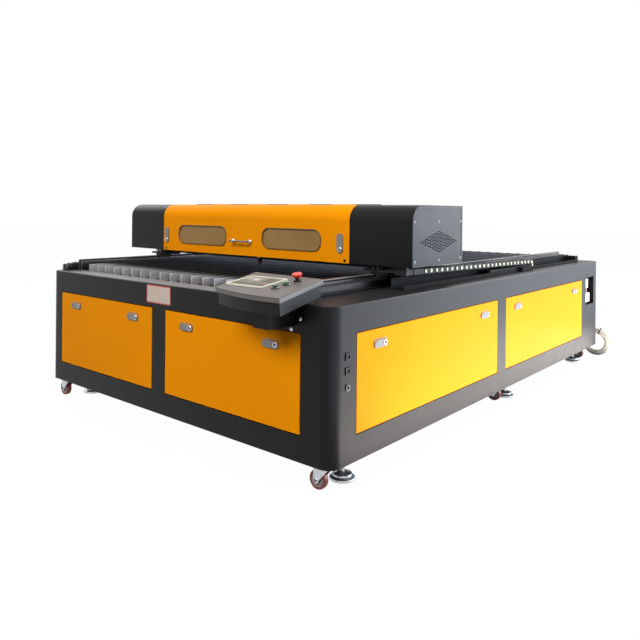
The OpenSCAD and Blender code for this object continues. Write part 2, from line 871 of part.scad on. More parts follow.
module console_arm() {
    wall = 3;
    y_drop = sin(console_tilt) / cos(console_tilt);
    under = body_top + console_rise - console_depth / cos(console_tilt);
    color("dimgray") placed() difference() {
        along_x(arm_x0, arm_x1) polygon([[arm_front, body_top - arm_drop], [0, body_top - arm_drop],
            [0, under], [arm_front, under + arm_front * y_drop]]);
        along_x(arm_x0 + wall, arm_x1 - wall) polygon([[arm_front + wall, body_top - arm_drop + wall],
            [-wall, body_top - arm_drop + wall], [-wall, under + 20], [arm_front + wall, under + 20]]);
    }
}

keypad_x = -150;
keypad_y = -39;
keypad_turn = 1;
keypad_t = 4;

module keypad_panel() {
    key = 9;
    color("beige") placed() on_console() translate([keypad_x, keypad_y, 0]) rotate([0, 0, keypad_turn]) {
        difference() {
            translate([0, 0, 0]) linear_extrude(keypad_t) round_rect(keypad_w, keypad_d, 4);
            translate([-keypad_w / 2 + 8, -keypad_d / 2 + 8, keypad_t - 1])
                cube([keypad_w - 16, keypad_d - 16, 2]);
        }
        translate([-keypad_w / 2 + 14, keypad_d / 2 - 76, keypad_t - 2]) cube([92, 60, 2]);
        for (row = [0:1], k = [0:8]) {
            translate([-keypad_w / 2 + 15 + k * 19, -keypad_d / 2 + 14 + row * 20, keypad_t - 2])
                cube([13, key, 3]);
        }
        for (row = [0:2], k = [0:2]) {
            translate([keypad_w / 2 - 72 + k * 20, keypad_d / 2 - 70 + row * 20, keypad_t - 2])
                cube([13, key, 3]);
        }
    }
}

module button_stem(y) {
    translate([button_x, y, -8]) cylinder(h = 8 + bezel_h + 4, r = stem_r);
}

press_gap = 6;      // travel room under the mushroom

module estop_button() {
    color("red") placed() on_console() {
        button_stem(estop_y);
        translate([button_x, estop_y, bezel_h + press_gap]) rotate_extrude() polygon([[0, -8], [stem_r, -8],
            [stem_r, 0], [stem_r + 3, 1], [estop_r - 1, 12], [estop_r, 16], [estop_r - 2, 20], [estop_r - 7, 22],
            [0, 23]]);
    }
}

module push_button(y) {
    button_stem(y);
    translate([button_x, y, bezel_h + press_gap / 2]) cylinder(h = 3.5, r = bezel_r - 4);
}

module start_button() {
    color("green") placed() on_console() push_button(start_y);
}

module pulse_button() {
    color("darkslategray") placed() on_console() push_button(pulse_y);
}

// ---- Electrics and connections ----

supply_l = 320;
supply_h = 145;
unit_w = 180;
unit_side = 420;            // distance of the units' left side from the cabinet's right side
supply_back = 480;          // distance of the power supply's front from the cabinet's back
supply_cover = [140, 5, 80];
controller_l = 240;
controller_h = 60;
controller_back = 800;
controller_lid = 20;        // inset of the controller's raised lid

module laser_power_supply() {
    color("gainsboro") placed() translate([body_w / 2 - unit_side, body_l - supply_back, floor_z]) {
        cube([unit_w, supply_l, supply_h]);
        translate([(unit_w - supply_cover[0]) / 2, eps - supply_cover[1], (supply_h - supply_cover[2]) / 2])
            cube(supply_cover);
    }
}

module controller_unit() {
    color("darkgray") placed() translate([body_w / 2 - unit_side, body_l - controller_back, floor_z]) {
        cube([unit_w, controller_l, controller_h]);
        translate([controller_lid / 2, controller_lid, controller_h - eps])
            cube([unit_w - controller_lid, controller_l - 2 * controller_lid, 8]);
    }
}

rocker_x = 100;
rocker_z = 98;
rocker_w = 26.8;
rocker_h = 42;
rocker_depth = 36;      // depth of the rocker's pivot below the side's face
rocker_pin_r = 1.5;
rocker_box_w = 36;      // housing that holds the rocker
rocker_box_h = 52;
rocker_side_gap = 0.6;
rocker_end_gap = 1.2;
socket_t = 6;
socket_h = 62;
socket_plates = [[10, 112, 66], [30, 14, 80]];    // place along the side, height and width of each plate
socket_slot = [4, 5, 16];
socket_slot_z = 22;
port_w = 28;            // side of a square port's flange
port_t = 3;
jack_w = 14;            // opening of a square port
jack_h = 12;
port_y = 93;
port_zs = [397, 344];       // heights of the square ports above the cabinet's floor
port_round_z = 284;
hose_x = body_w / 2 - 114;
hose_z = 330;
barb_l = 14;

module socket_plate(x, z, w) {
    difference() {
        translate([x, recess_depth - socket_t, z]) cube([w, socket_t, socket_h]);
        for (s = [-1, 1]) {
            translate([x + w / 2 + (2 * s - 0.5) * socket_slot[0], recess_depth - socket_t - 1, z + socket_slot_z])
                cube(socket_slot);
        }
    }
}

module service_sockets() {
    color("whitesmoke") placed() {
        recess_place() {
            for (plate = socket_plates) {
                socket_plate(plate[0], plate[1], plate[2]);
            }
            difference() {
                translate([rocker_x - rocker_box_w / 2, rocker_depth - 5, rocker_z - rocker_box_h / 2])
                    cube([rocker_box_w, recess_depth - rocker_depth + 5, rocker_box_h]);
                translate([rocker_x - rocker_w / 2 - rocker_side_gap, 0, rocker_z - rocker_h / 2 - rocker_end_gap])
                    cube([rocker_w + 2 * rocker_side_gap, recess_depth - 1, rocker_h + 2 * rocker_end_gap]);
                translate([rocker_x, rocker_depth, rocker_z])
                    rod_x(-rocker_w / 2 - 2.1, rocker_w / 2 + 2.1, rocker_pin_r + run_fit);
            }
        }
        for (z = port_zs) {
            side_place(port_y, ground_gap + z) translate([-port_w / 2, -port_t, -port_w / 2]) difference() {
                cube([port_w, port_t, port_w]);
                translate([(port_w - jack_w) / 2, -eps, (port_w - jack_h) / 2])
                    cube([jack_w, port_t, jack_h]);
            }
        }
        side_place(port_y, ground_gap + port_round_z) difference() {
            rod_y(-3, 0, 12);
            rod_y(-4, -1, 7);
        }
        translate([hose_x, body_l, hose_z]) {
            rod_y(0, 6, 11);
            rod_y(0, barb_l, hose_d / 2 - 1);
        }
    }
}

module power_rocker() {
    color("red") placed() recess_place() translate([rocker_x, rocker_depth, rocker_z]) {
        translate([-rocker_w / 2, -3, -rocker_h / 2]) cube([rocker_w, 6, rocker_h]);
        rod_x(-rocker_w / 2 - 2, rocker_w / 2 + 2, rocker_pin_r);
    }
}

// ---- Casters and feet ----

module levelling_feet() {
    color("lightsteelblue") placed() for (s = [-1, 1], y = foot_ys) {
        translate([s * foot_x, y, 0]) {
            cylinder(h = 10, r = foot_r);
            translate([0, 0, 10]) cylinder(h = 6, r1 = foot_r, r2 = foot_r - 9);
            cylinder(h = 23, r = foot_r - 12);
            translate([0, 0, 23]) cylinder(h = 9, r1 = foot_r - 15, r2 = spindle_r + 5);
            cylinder(h = floor_z + 22, r = spindle_r);
            translate([0, 0, ground_gap - 11]) cylinder(h = 11, r = spindle_r + 6, $fn = 6);
            translate([0, 0, floor_z]) cylinder(h = 11, r = spindle_r + 6, $fn = 6);
        }
    }
}

axle_z = wheel_lift + wheel_r;
axle_r = 4;
leg_t = 3;
leg_gap = 1.5;

// Caster places count along the right side from the front, then along the left side
module caster_place(i) {
    side = i < 3 ? 1 : -1;
    translate([side * caster_x, caster_ys[i % 3], 0]) children();
}

module fork() {
    half = wheel_w / 2 + leg_gap;
    difference() {
        union() {
            translate([-trail - 14, -half - leg_t, crown_z - crown_t])
                cube([trail + 38, 2 * (half + leg_t), crown_t]);
            translate([0, 0, crown_z - eps]) cylinder(h = race_t + eps, r = race_r);
            for (s = [0, 1]) {
                mirror([0, s, 0]) translate([0, half + leg_t, 0]) rotate([90, 0, 0])
                linear_extrude(leg_t) union() {
                    polygon([[-trail - 14, crown_z], [24, crown_z], [24, crown_z - 10], [-trail + 12, axle_z],
                        [-trail - 12, axle_z]]);
                    translate([-trail, axle_z]) circle(12);
                }
                mirror([0, s, 0]) translate([-trail, 0, axle_z])
                    rod_y(half + eps, half + leg_t + 4, axle_r + 3);
            }
            translate([22, -12, crown_z - crown_t]) rotate([0, 14, 0]) cube([26, 24, 3]);
        }
        translate([0, 0, crown_z - 2 * crown_t]) cylinder(h = 4 * crown_t, r = kingpin_r + run_fit);
    }
    translate([-trail, 0, axle_z]) rod_y(-half - eps, half + eps, axle_r);
}

module wheel() {
    translate([-trail, 0, axle_z]) rotate([90, 0, 0]) rotate_extrude($fn = 64) polygon([
        [axle_r + run_fit, -wheel_w / 2], [14, -wheel_w / 2], [15, -wheel_w / 2 + 4], [wheel_r - 10, -wheel_w / 2 + 4],
        [wheel_r - 8, -wheel_w / 2 + 1], [wheel_r - 2, -wheel_w / 2 + 2], [wheel_r, -wheel_w / 2 + 7],
        [wheel_r, wheel_w / 2 - 7], [wheel_r - 2, wheel_w / 2 - 2], [wheel_r - 8, wheel_w / 2 - 1],
        [wheel_r - 10, wheel_w / 2 - 4], [15, wheel_w / 2 - 4], [14, wheel_w / 2], [axle_r + run_fit, wheel_w / 2]]);
}

module caster_fork(i) {
    color("silver") placed() caster_place(i) fork();
}

module caster_wheel(i) {
    color("firebrick") placed() caster_place(i) wheel();
}

// ---- Water hose ----

coil_y = 84;                                // middle of the coil behind the cabinet's back
coil_section_r = hose_d * 1.5;
coil_x = hose_x + coil_r;
coil_z = coil_r + coil_section_r;
// Route of the hose from its barb to the top of the coil: distance behind the cabinet's back, height
hose_route = [[14, 330], [32, 330], [49, 330], [70, 326], [89, 314], [101, 295], [105, 274], [105, 240],
    [105, 200], [105, 160], [105, 125]];

module water_hose() {
    sides = 10;
    n = len(hose_route);
    points = [for (i = [0:n - 1], k = [0:sides - 1])
        let (a = hose_route[max(i - 1, 0)], b = hose_route[min(i + 1, n - 1)], u = (b - a) / norm(b - a),
            turn = 360 * k / sides, side = cos(turn) * hose_d / 2, up = sin(turn) * hose_d / 2)
        [hose_x + side, body_l + hose_route[i][0] - u[1] * up, hose_route[i][1] + u[0] * up]];
    walls = [for (i = [0:n - 2], k = [0:sides - 1])
        let (m = (k + 1) % sides) [i * sides + k, i * sides + m, (i + 1) * sides + m, (i + 1) * sides + k]];
    first = [for (k = [0:sides - 1]) sides - 1 - k];
    last = [for (k = [0:sides - 1]) (n - 1) * sides + k];
    color("white") placed() polyhedron(points, concat(walls, [first, last]));
}

module hose_coil() {
    color("white") placed() translate([coil_x, body_l + coil_y, coil_z]) rotate([90, 0, 0])
        rotate_extrude($fn = 96) translate([coil_r, 0]) circle(coil_section_r);
}

// ---- Gantry ----

// Outline of the covers from the side: X is the distance behind the gantry's front, and Y is the height
// above the covers' lower edge
module cover_outline(inset, back) {
    difference() {
        translate([inset, -eps]) square([back - 2 * inset, gantry_h - inset + eps]);
        translate([inset - eps, gantry_h - cover_r]) square([cover_r - inset + eps, cover_r + eps]);
    }
    intersection() {
        translate([cover_r, gantry_h - cover_r]) circle(cover_r - inset);
        translate([0, gantry_h - cover_r - eps]) square([cover_r + eps, cover_r + eps]);
    }
}

module gantry_place() {
    translate([0, gantry_y, gantry_z]) children();
}

// Bent shell of the covers from x0 to x1, open below, as deep as back
module cover_shell(x0, x1, back) {
    gantry_place() difference() {
        along_x(x0, x1) intersection() {
            cover_outline(0, back);
            square([back, gantry_h]);
        }
        along_x(x0 - eps, x1 + eps) cover_outline(cover_t, back);
    }
}

module end_plate(x0) {
    gantry_place() along_x(x0, x0 + cover_t) intersection() {
        cover_outline(0, gantry_d);
        square([gantry_d, gantry_h]);
    }
}

module end_cover_left() {
    color("dimgray") placed() {
        cover_shell(gantry_left, lift_left, gantry_d);
        end_plate(gantry_left);
    }
}

vent_rows = 7;              // rows above and below the vent's middle row
vent_pitch = 44;
vent_row_pitch = 6.4;
vent_slot_w = 31;
vent_slot_h = 3.6;
vent_z = 108;               // middle of the vent above the cover's lower edge
vent_y = 228;               // middle of the vent behind the gantry's front

module vent_slots() {
    for (row = [-vent_rows:vent_rows]) {
        count = vent_rows + 1 - abs(row);
        for (k = [0:count - 1]) {
            translate([vent_y + (k - (count - 1) / 2) * vent_pitch, vent_z + row * vent_row_pitch])
                square([vent_slot_w, vent_slot_h], center = true);
        }
    }
}

module end_cover_right() {
    color("dimgray") placed() difference() {
        union() {
            cover_shell(lift_right, gantry_right, gantry_d);
            end_plate(gantry_right - cover_t);
        }
        gantry_place() along_x(gantry_right - 2 * cover_t, gantry_right + eps) vent_slots();
    }
}

barrel_z = gantry_h + 1.5;
hinge_pin_r = 2;
hinge_gap = 5;             // distance of each leaf's edge from the hinge's middle
knuckle_count = 9;
lift_x0 = lift_left + cover_gap;
lift_x1 = lift_right - cover_gap;
knuckle_step = (lift_x1 - lift_x0) / knuckle_count;
knuckle_play = 0.5;

// Hinge knuckles with the given parity, each with a short leaf towards the sheet on side s
module knuckles(parity, s) {
    for (k = [parity:2:knuckle_count - 1]) {
        x0 = lift_x0 + k * knuckle_step + knuckle_play;
        x1 = lift_x0 + (k + 1) * knuckle_step - knuckle_play;
        gantry_place() {
            translate([0, hinge_y, barrel_z]) rod_x(x0, x1, barrel_r);
            translate([x0, hinge_y + min(0, s) * (hinge_gap + eps), gantry_h - cover_t])
                cube([x1 - x0, hinge_gap + eps, cover_t]);
        }
    }
}

module rear_cover() {
    wall = gantry_d - hinge_y - hinge_gap;
    color("dimgray") placed() {
        gantry_place() translate([lift_x0, hinge_y + hinge_gap, gantry_h - cover_t])
            cube([lift_x1 - lift_x0, wall, cover_t]);
        gantry_place() translate([lift_x0, gantry_d - cover_t, 0])
            cube([lift_x1 - lift_x0, cover_t, gantry_h]);
        knuckles(0, 1);
        gantry_place() translate([0, hinge_y, barrel_z])
            rod_x(lift_x0 + knuckle_play, lift_x1 - knuckle_play, hinge_pin_r);
    }
}

window_z = window_rise;
cover_latch_inset = 35;
cover_latch_z = 92;

module window_places(grow) {
    translate([lift_left + left_window_margin + left_window_w / 2, window_z + window_h / 2])
        round_rect(left_window_w + 2 * grow, window_h + 2 * grow, window_r + grow);
    translate([lift_left + right_window_x + right_window_w / 2, window_z + window_h / 2])
        round_rect(right_window_w + 2 * grow, window_h + 2 * grow, window_r + grow);
}

module cover_latch_places() {
    for (x = [lift_left + cover_latch_inset, lift_right - cover_latch_inset - 20]) {
        gantry_place() translate([x, 0, cover_latch_z]) children();
    }
}

module lifting_cover() {
    color("orange") placed() {
        difference() {
            union() {
                difference() {
                    cover_shell(lift_x0, lift_x1, gantry_d);
                    gantry_place() translate([lift_x0 - eps, hinge_y - hinge_gap, -eps])
                        cube([lift_x1 - lift_x0 + 2 * eps, gantry_d, 2 * gantry_h]);
                }
                knuckles(1, -1);
            }
            gantry_place() translate([0, hinge_y, barrel_z]) rod_x(lift_x0, lift_x1, hinge_pin_r + run_fit);
            gantry_place() translate([0, cover_t + eps, 0]) rotate([90, 0, 0])
                linear_extrude(cover_t + 2 * eps)
                window_places(0);
        }
        cover_latch_places() latch_ears(cover_latch_h, cover_latch_knuckle);
    }
}

module cover_windows() {
    color("sienna") placed() gantry_place() translate([0, cover_t + pane_t, 0]) rotate([90, 0, 0])
        linear_extrude(pane_t) window_places(8);
}

handle_offset = 124;                // distance from the left window to the handle's middle
handle_x = lift_left + left_window_margin + left_window_w + handle_offset;
handle_z = 77;

module cover_handle() {
    color("silver") placed() gantry_place() translate([handle_x, 0, handle_z]) {
        for (s = [-1, 1]) {
            translate([s * (handle_w / 2 - handle_r), 0, 0]) {
                rod_y(-handle_reach, 0, handle_r);
                translate([0, -handle_reach, 0]) sphere(handle_r);
                rod_y(-3, 0, handle_r + 5);
            }
        }
        translate([0, -handle_reach, 0]) rod_x(-handle_w / 2 + handle_r, handle_w / 2 - handle_r, handle_r);
    }
}

module cover_latches() {
    color("silver") placed() cover_latch_places()
        latch_paddle(cover_latch_w, cover_latch_h, cover_latch_knuckle, 0, -cover_latch_h / 2 + cover_latch_w / 2);
}

// Frame of the gantry, in distances behind its front
cross_y = 95;                  // front of the cross beam
cross_d = 100;
cross_h = 120;
cross_wall = 4;
block_w = 44;
block_l = 80;
block_play = 0.1;
plate_z = rail_top + 10;       // underside of the carriage plates
plate_t = 10;
carriage_w = 120;
carriage_y0 = 35;
carriage_y1 = 415;
cross_z = plate_z + plate_t;
shelf_t = 4;
upright_t = 6;
upright_l = 205;
tube_y = 355;
tube_z = 173;                  // height of the laser tube above the covers' lower edge
tube_cap = 40;
tube_l = rail_span - tube_lead + tube_tail - 2 * tube_cap;
tube_x = left_rail_x + tube_lead + tube_cap + tube_l / 2;    // middle of the laser tube
cradle_reach = tube_l * 0.287;

module carriage_block() {
    difference() {
        translate([-block_w / 2, 0, beam_top + 4]) cube([block_w, block_l, plate_z - beam_top - 4]);
        translate([-rail_w / 2 - block_play, -eps, beam_top])
            cube([rail_w + 2 * block_play, block_l + 2 * eps, rail_h + block_play]);
    }
}

module carriage() {
    translate([0, gantry_y, 0]) {
        for (y = [carriage_y0 + 5, carriage_y1 - 5 - block_l]) {
            translate([0, y, 0]) carriage_block();
        }
        translate([-carriage_w / 2, carriage_y0, plate_z])
            cube([carriage_w, carriage_y1 - carriage_y0, plate_t]);
        translate([carriage_w / 2 - upright_t, cross_y, cross_z - eps])
            cube([upright_t, upright_l, gantry_top - cover_t - cross_z + eps]);
        // Belt clamp: a lug that reaches down to the belt's upper run
        translate([pulley_x0, 180, shaft_z + belt_inner + belt_t + seat_gap])
            cube([pulley_w, 60, plate_z + 1 - shaft_z - belt_inner - belt_t - seat_gap]);
    }
}

module tube_cradle() {
    depth = 2 * tube_r + 16;
    difference() {
        translate([-15, tube_y - depth / 2, 0])
            cube([30, depth, tube_z - tube_r / 2 + gantry_z - cross_z - cross_h]);
        translate([0, tube_y, tube_z + gantry_z - cross_z - cross_h]) rod_x(-16, 16, tube_r + seat_gap);
    }
}

module gantry_beam() {
    x0 = left_rail_x - carriage_w / 2;
    x1 = right_rail_x + carriage_w / 2;
    color("dimgray") placed() {
        difference() {
            union() {
                at_rails() carriage();
                translate([x0 + upright_t / 2, gantry_y + cross_y, cross_z - eps])
                    cube([x1 - x0 - upright_t, cross_d, cross_h + eps]);
            }
            translate([x0 - eps, gantry_y + cross_y + cross_wall, cross_z + cross_wall])
                cube([x1 - x0 + 2 * eps, cross_d - 2 * cross_wall, cross_h - 2 * cross_wall]);
        }
        translate([lift_left + 30, gantry_y + cross_y + cross_d - eps, cross_z + cross_h - shelf_t])
            cube([lift_right - lift_left - 60, gantry_d - cover_t - cross_y - cross_d + eps, shelf_t]);
        for (x = [-cradle_reach, 0, cradle_reach]) {
            translate([gantry_x + x, gantry_y, cross_z + cross_h]) tube_cradle();
        }
        // Arm and lug that carry the cable chain's moving end
        translate([right_rail_x + carriage_w / 2 - 20, gantry_y + chain_seat - chain_lug_t - chain_end_gap, plate_z])
            cube([chain_x + chain_w / 2 - right_rail_x - carriage_w / 2 + 20, chain_lug_t, plate_t]);
        translate([chain_x - chain_w / 2, gantry_y + chain_seat - chain_lug_t - chain_end_gap, upper_z0 - chain_h / 2])
            cube([chain_w, chain_lug_t, chain_h + 8]);
    }
}

module laser_tube() {
    color("lightcyan") placed() gantry_place() translate([tube_x, tube_y, tube_z]) {
        rod_x(-tube_l / 2, tube_l / 2, tube_r);
        for (s = [-1, 1]) {
            rod_x(s * tube_l / 2 - (s < 0 ? tube_cap : eps), s * tube_l / 2 + (s < 0 ? eps : tube_cap), tube_r * 0.35);
        }
    }
}

head_y = 40;                  // distance of the beam path and the focus tube behind the gantry's front
mirror_x = left_rail_x - 20;
mirror_post_w = 16;
mirror_plate = [50, 8, 56];
mirror_r = 12.5;
mirror_t = 5;

// Mirror mount: a post on the left carriage that holds a plate across the beam's corner
module mirror_mount(y, turn) {
    translate([mirror_x, gantry_y + y, 0]) {
        translate([-mirror_post_w / 2, -mirror_post_w / 2, cross_z])
            cube([mirror_post_w, mirror_post_w, gantry_z + tube_z - cross_z - 20]);
        translate([0, 0, gantry_z + tube_z]) rotate([0, 0, turn]) {
            translate(-mirror_plate / 2) cube(mirror_plate);
            rod_y(mirror_plate[1] / 2, mirror_plate[1] / 2 + mirror_t, mirror_r);
        }
    }
}

module mirror_mounts() {
    color("silver") placed() {
        mirror_mount(tube_y, -135);
        mirror_mount(head_y + 10, -45);
    }
}

x_rail_w = 15;
x_rail_z = 73;                // height of the rail's middle above the covers' lower edge
x_rail_x0 = lift_left + 20;
x_rail_x1 = lift_right - 12;

module x_rail() {
    color("silver") placed() gantry_place()
        translate([x_rail_x0, cross_y - x_rail_w, x_rail_z - x_rail_w / 2])
            cube([x_rail_x1 - x_rail_x0, x_rail_w, x_rail_w]);
}

x_pulley_r = 12;
x_belt_y = 78;
x_belt_w = 12;
x_belt_z = 35;
x_motor_w = 56;

module x_belt_drive() {
    xm = x_rail_x0 - 30;
    xi = x_rail_x1 + 20;
    color("black") placed() gantry_place() translate([0, 0, x_belt_z]) {
        // Belt
        translate([0, x_belt_y + x_belt_w, 0]) rotate([90, 0, 0]) linear_extrude(x_belt_w) difference() {
            belt_loop(x_pulley_r + belt_t + seat_gap, xm, xi);
            belt_loop(x_pulley_r + seat_gap, xm, xi);
        }
        // Motor in front of the belt, on four spacers
        translate([xm - x_motor_w / 2, 14, -x_motor_w / 2]) cube([x_motor_w, x_belt_y - 18, x_motor_w]);
        for (sx = [-1, 1], sz = [-1, 1]) {
            translate([xm + sx * 23, 0, sz * 23]) rod_y(x_belt_y - 5, cross_y, 3.5);
        }
        translate([xm, 0, 0]) rod_y(x_belt_y - 5, x_belt_y + x_belt_w, x_pulley_r);
        // Idler on its pin
        translate([xi, 0, 0]) {
            rod_y(x_belt_y, x_belt_y + x_belt_w, x_pulley_r);
            rod_y(x_belt_y - 3, cross_y, 4);
        }
    }
}

head_plate_t = 8;
head_plate_w = 90;
head_block_y = cross_y - 28;       // front of the head's sliding block
clamp_l = 40;
clamp_z = 30;
mirror_box = 46;

module head_carriage() {
    color("gray") placed() gantry_place() translate([head_x, 0, 0]) {
        difference() {
            translate([-30, head_block_y, x_rail_z - 17]) cube([60, 25, 34]);
            translate([-31, cross_y - x_rail_w - block_play, x_rail_z - x_rail_w / 2 - block_play])
                cube([62, x_rail_w + 2, x_rail_w + 2 * block_play]);
        }
        translate([-head_plate_w / 2, head_block_y - head_plate_t, 5])
            cube([head_plate_w, head_plate_t, 175]);
        translate([-12, head_block_y - eps, x_belt_z - 20])
            cube([24, x_belt_y - seat_gap - head_block_y + eps, 40]);
        difference() {
            translate([-22, head_y - 22, clamp_z])
                cube([44, head_block_y - head_plate_t - head_y + 22 + eps, clamp_l]);
            translate([0, head_y, clamp_z - eps]) cylinder(h = clamp_l + 2 * eps, r = focus_r + run_fit);
        }
        difference() {
            translate([-mirror_box / 2, head_y - 25, tube_z - 25])
                cube([mirror_box, head_block_y - head_plate_t - head_y + 25 + eps, 50]);
            translate([0, head_y, tube_z]) rod_x(-mirror_box, 0, 9);
            translate([0, head_y, tube_z - 26]) cylinder(h = 26, r = 9);
        }
    }
}

tip_z = slat_top + nozzle_gap;
nozzle_l = 33;

module laser_head() {
    color("black") placed() translate([head_x, gantry_y + head_y, 0]) difference() {
        union() {
            translate([0, 0, tip_z]) cylinder(h = nozzle_l, r1 = 4, r2 = 16);
            translate([0, 0, tip_z + nozzle_l]) cylinder(h = 14, r = 16.5);
            translate([0, 0, tip_z + nozzle_l]) cylinder(h = gantry_z + 118 - tip_z - nozzle_l, r = focus_r);
            translate([0, 0, tip_z + nozzle_l + 7]) rod_x(14, 30, 3);
        }
        translate([0, 0, tip_z - eps]) cylinder(h = nozzle_l + 2 * eps, r = 2);
    }
}

cabinet_shell();
base_frame();
top_deck();
dust_tray();
knife_slats();
y_beams();
y_rails();
y_belts();
y_motor();
drive_shaft();
front_idlers();
cable_chain();
chain_tray();
console_arm();
console_box();
keypad_panel();
estop_button();
start_button();
pulse_button();
laser_power_supply();
controller_unit();
service_sockets();
power_rocker();
levelling_feet();
water_hose();
hose_coil();
door_front_left();
door_front_right();
door_side_front();
door_side_rear();
latches_front_left();
latches_front_right();
latches_side_front();
latches_side_rear();
caster_fork(0);  // caster_fork_1
caster_fork(1);  // caster_fork_2
caster_fork(2);  // caster_fork_3
caster_fork(3);  // caster_fork_4
caster_fork(4);  // caster_fork_5
caster_fork(5);  // caster_fork_6
caster_wheel(0);  // caster_wheel_1
caster_wheel(1);  // caster_wheel_2
caster_wheel(2);  // caster_wheel_3
caster_wheel(3);  // caster_wheel_4
caster_wheel(4);  // caster_wheel_5
caster_wheel(5);  // caster_wheel_6
gantry_beam();
end_cover_left();
end_cover_right();
rear_cover();
lifting_cover();
cover_windows();
cover_handle();
cover_latches();
laser_tube();
mirror_mounts();
x_rail();
x_belt_drive();
head_carriage();
laser_head();
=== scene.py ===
"""Flatbed laser engraving machine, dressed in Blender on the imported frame."""
import math

import bmesh
import bpy
from mathutils import Matrix, Vector


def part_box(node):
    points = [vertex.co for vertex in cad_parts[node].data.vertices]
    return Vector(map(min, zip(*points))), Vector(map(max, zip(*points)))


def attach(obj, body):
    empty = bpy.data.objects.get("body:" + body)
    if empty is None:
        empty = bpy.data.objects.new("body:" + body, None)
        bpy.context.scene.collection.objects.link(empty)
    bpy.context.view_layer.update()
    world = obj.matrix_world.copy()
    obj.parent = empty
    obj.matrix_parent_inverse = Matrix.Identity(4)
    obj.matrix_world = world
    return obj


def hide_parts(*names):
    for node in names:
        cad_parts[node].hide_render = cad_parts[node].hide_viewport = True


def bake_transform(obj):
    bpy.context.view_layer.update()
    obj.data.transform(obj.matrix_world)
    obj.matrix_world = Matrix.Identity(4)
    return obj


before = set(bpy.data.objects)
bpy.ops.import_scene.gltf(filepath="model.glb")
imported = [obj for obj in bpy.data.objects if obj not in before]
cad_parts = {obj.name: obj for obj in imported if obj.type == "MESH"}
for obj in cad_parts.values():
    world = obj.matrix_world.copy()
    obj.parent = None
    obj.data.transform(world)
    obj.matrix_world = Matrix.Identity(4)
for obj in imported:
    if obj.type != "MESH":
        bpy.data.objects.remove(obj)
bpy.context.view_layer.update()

BOX = {n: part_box(n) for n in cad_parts}
CAB_LO, CAB_HI = BOX["cabinet_shell"]
MID_X = (CAB_LO.x + CAB_HI.x) / 2
FRONT_Y = CAB_LO.y
ORIGIN = Vector((MID_X, FRONT_Y, 0))

# Millimetres. The exhaust collars are part of the shell and stand out behind its back sheet
COLLAR_DEPTH = 60
BODY_W = (CAB_HI.x - CAB_LO.x) * 1000
BODY_L = (CAB_HI.y - FRONT_Y) * 1000 - COLLAR_DEPTH
DECK = CAB_HI.z * 1000


def at(x, y, z):
    """A point given in millimetres from the middle of the cabinet's front edge on the ground."""
    return Vector((MID_X + x / 1000, FRONT_Y + y / 1000, z / 1000))


def mm(node):
    """A node's box in those millimetres."""
    lo, hi = BOX[node]
    return (lo - ORIGIN) * 1000, (hi - ORIGIN) * 1000


# ---------------- camera

YAW, ROLL = 0.6983, 0.0093              # radians, the yaw to the left of +Y
CAMERA_AT = (2403.3, -1755.4, 1031.5)
LENS, SENSOR, VIEW_SHIFT = 36, 36, -0.171

ahead = Vector((-math.sin(YAW), math.cos(YAW), 0))
side = Vector((math.cos(YAW), math.sin(YAW), 0))
up = Vector((0, 0, 1))
cam_x = math.cos(ROLL) * side + math.sin(ROLL) * up
cam_y = -math.sin(ROLL) * side + math.cos(ROLL) * up
camera = bpy.data.objects.new("Camera", bpy.data.cameras.new("Camera"))
bpy.context.scene.collection.objects.link(camera)
turn = Matrix((cam_x, cam_y, -ahead)).transposed().to_4x4()
camera.matrix_world = Matrix.Translation(at(*CAMERA_AT)) @ turn
camera.data.sensor_width = SENSOR
camera.data.lens = LENS
camera.data.shift_y = VIEW_SHIFT
bpy.context.scene.camera = camera
bpy.context.scene.view_settings.view_transform = "Standard"

# ---------------- materials


def fill(tree, node, values):
    """Gives inputs, named with _ for a space, either a value or the output that feeds them."""
    for name, value in values.items():
        socket = node.inputs[name.replace("_", " ")]
        if isinstance(value, bpy.types.NodeSocket):
            tree.links.new(value, socket)
        else:
            socket.default_value = value


def new_node(tree, kind, settings=None, **values):
    made = tree.nodes.new(kind)
    for key, value in (settings or {}).items():
        setattr(made, key, value)
    fill(tree, made, values)
    return made


def maths(tree, operation, first, second):
    made = new_node(tree, "ShaderNodeMath", {"operation": operation})
    tree.links.new(first, made.inputs[0])
    if isinstance(second, bpy.types.NodeSocket):
        tree.links.new(second, made.inputs[1])
    else:
        made.inputs[1].default_value = second
    return made.outputs[0]


class Nodes:
    """A small helper around one material's node tree."""

    def __init__(self, name):
        self.mat = bpy.data.materials.new(name)
        self.mat.use_nodes = True
        self.tree = self.mat.node_tree
        self.shader = self.tree.nodes["Principled BSDF"]
        self.out = self.tree.nodes["Material Output"]

    def node(self, kind, settings=None, **values):
        return new_node(self.tree, kind, settings, **values)

    def coords(self, stretch=(1, 1, 1)):
        tex = self.node("ShaderNodeTexCoord")
        return self.node("ShaderNodeMapping", Scale=stretch, Vector=tex.outputs["Object"]).outputs["Vector"]

    def noise(self, scale, detail=2.0, stretch=(1, 1, 1), rough=0.5):
        place = self.coords(stretch)
        made = self.node("ShaderNodeTexNoise", Scale=scale, Detail=detail, Roughness=rough, Vector=place)
        return made.outputs["Fac"]

    def ramp(self, fac, low, high, places=(0.3, 0.7)):
        """A colour that runs from low to high between two places of the factor."""
        made = self.node("ShaderNodeValToRGB", Fac=fac)
        for element, place, colour in zip(made.color_ramp.elements, places, (low, high)):
            element.position = place
            element.color = (*colour, 1)
        return made.outputs["Color"]

    def span(self, fac, low, high):
        return self.node("ShaderNodeMapRange", To_Min=low, To_Max=high, Value=fac).outputs["Result"]

    def bump(self, fac, strength, distance, **before):
        made = self.node("ShaderNodeBump", Strength=strength, Distance=distance, Height=fac, **before)
        return made.outputs["Normal"]

    def finish(self, **values):
        fill(self.tree, self.shader, values)
        return self.mat


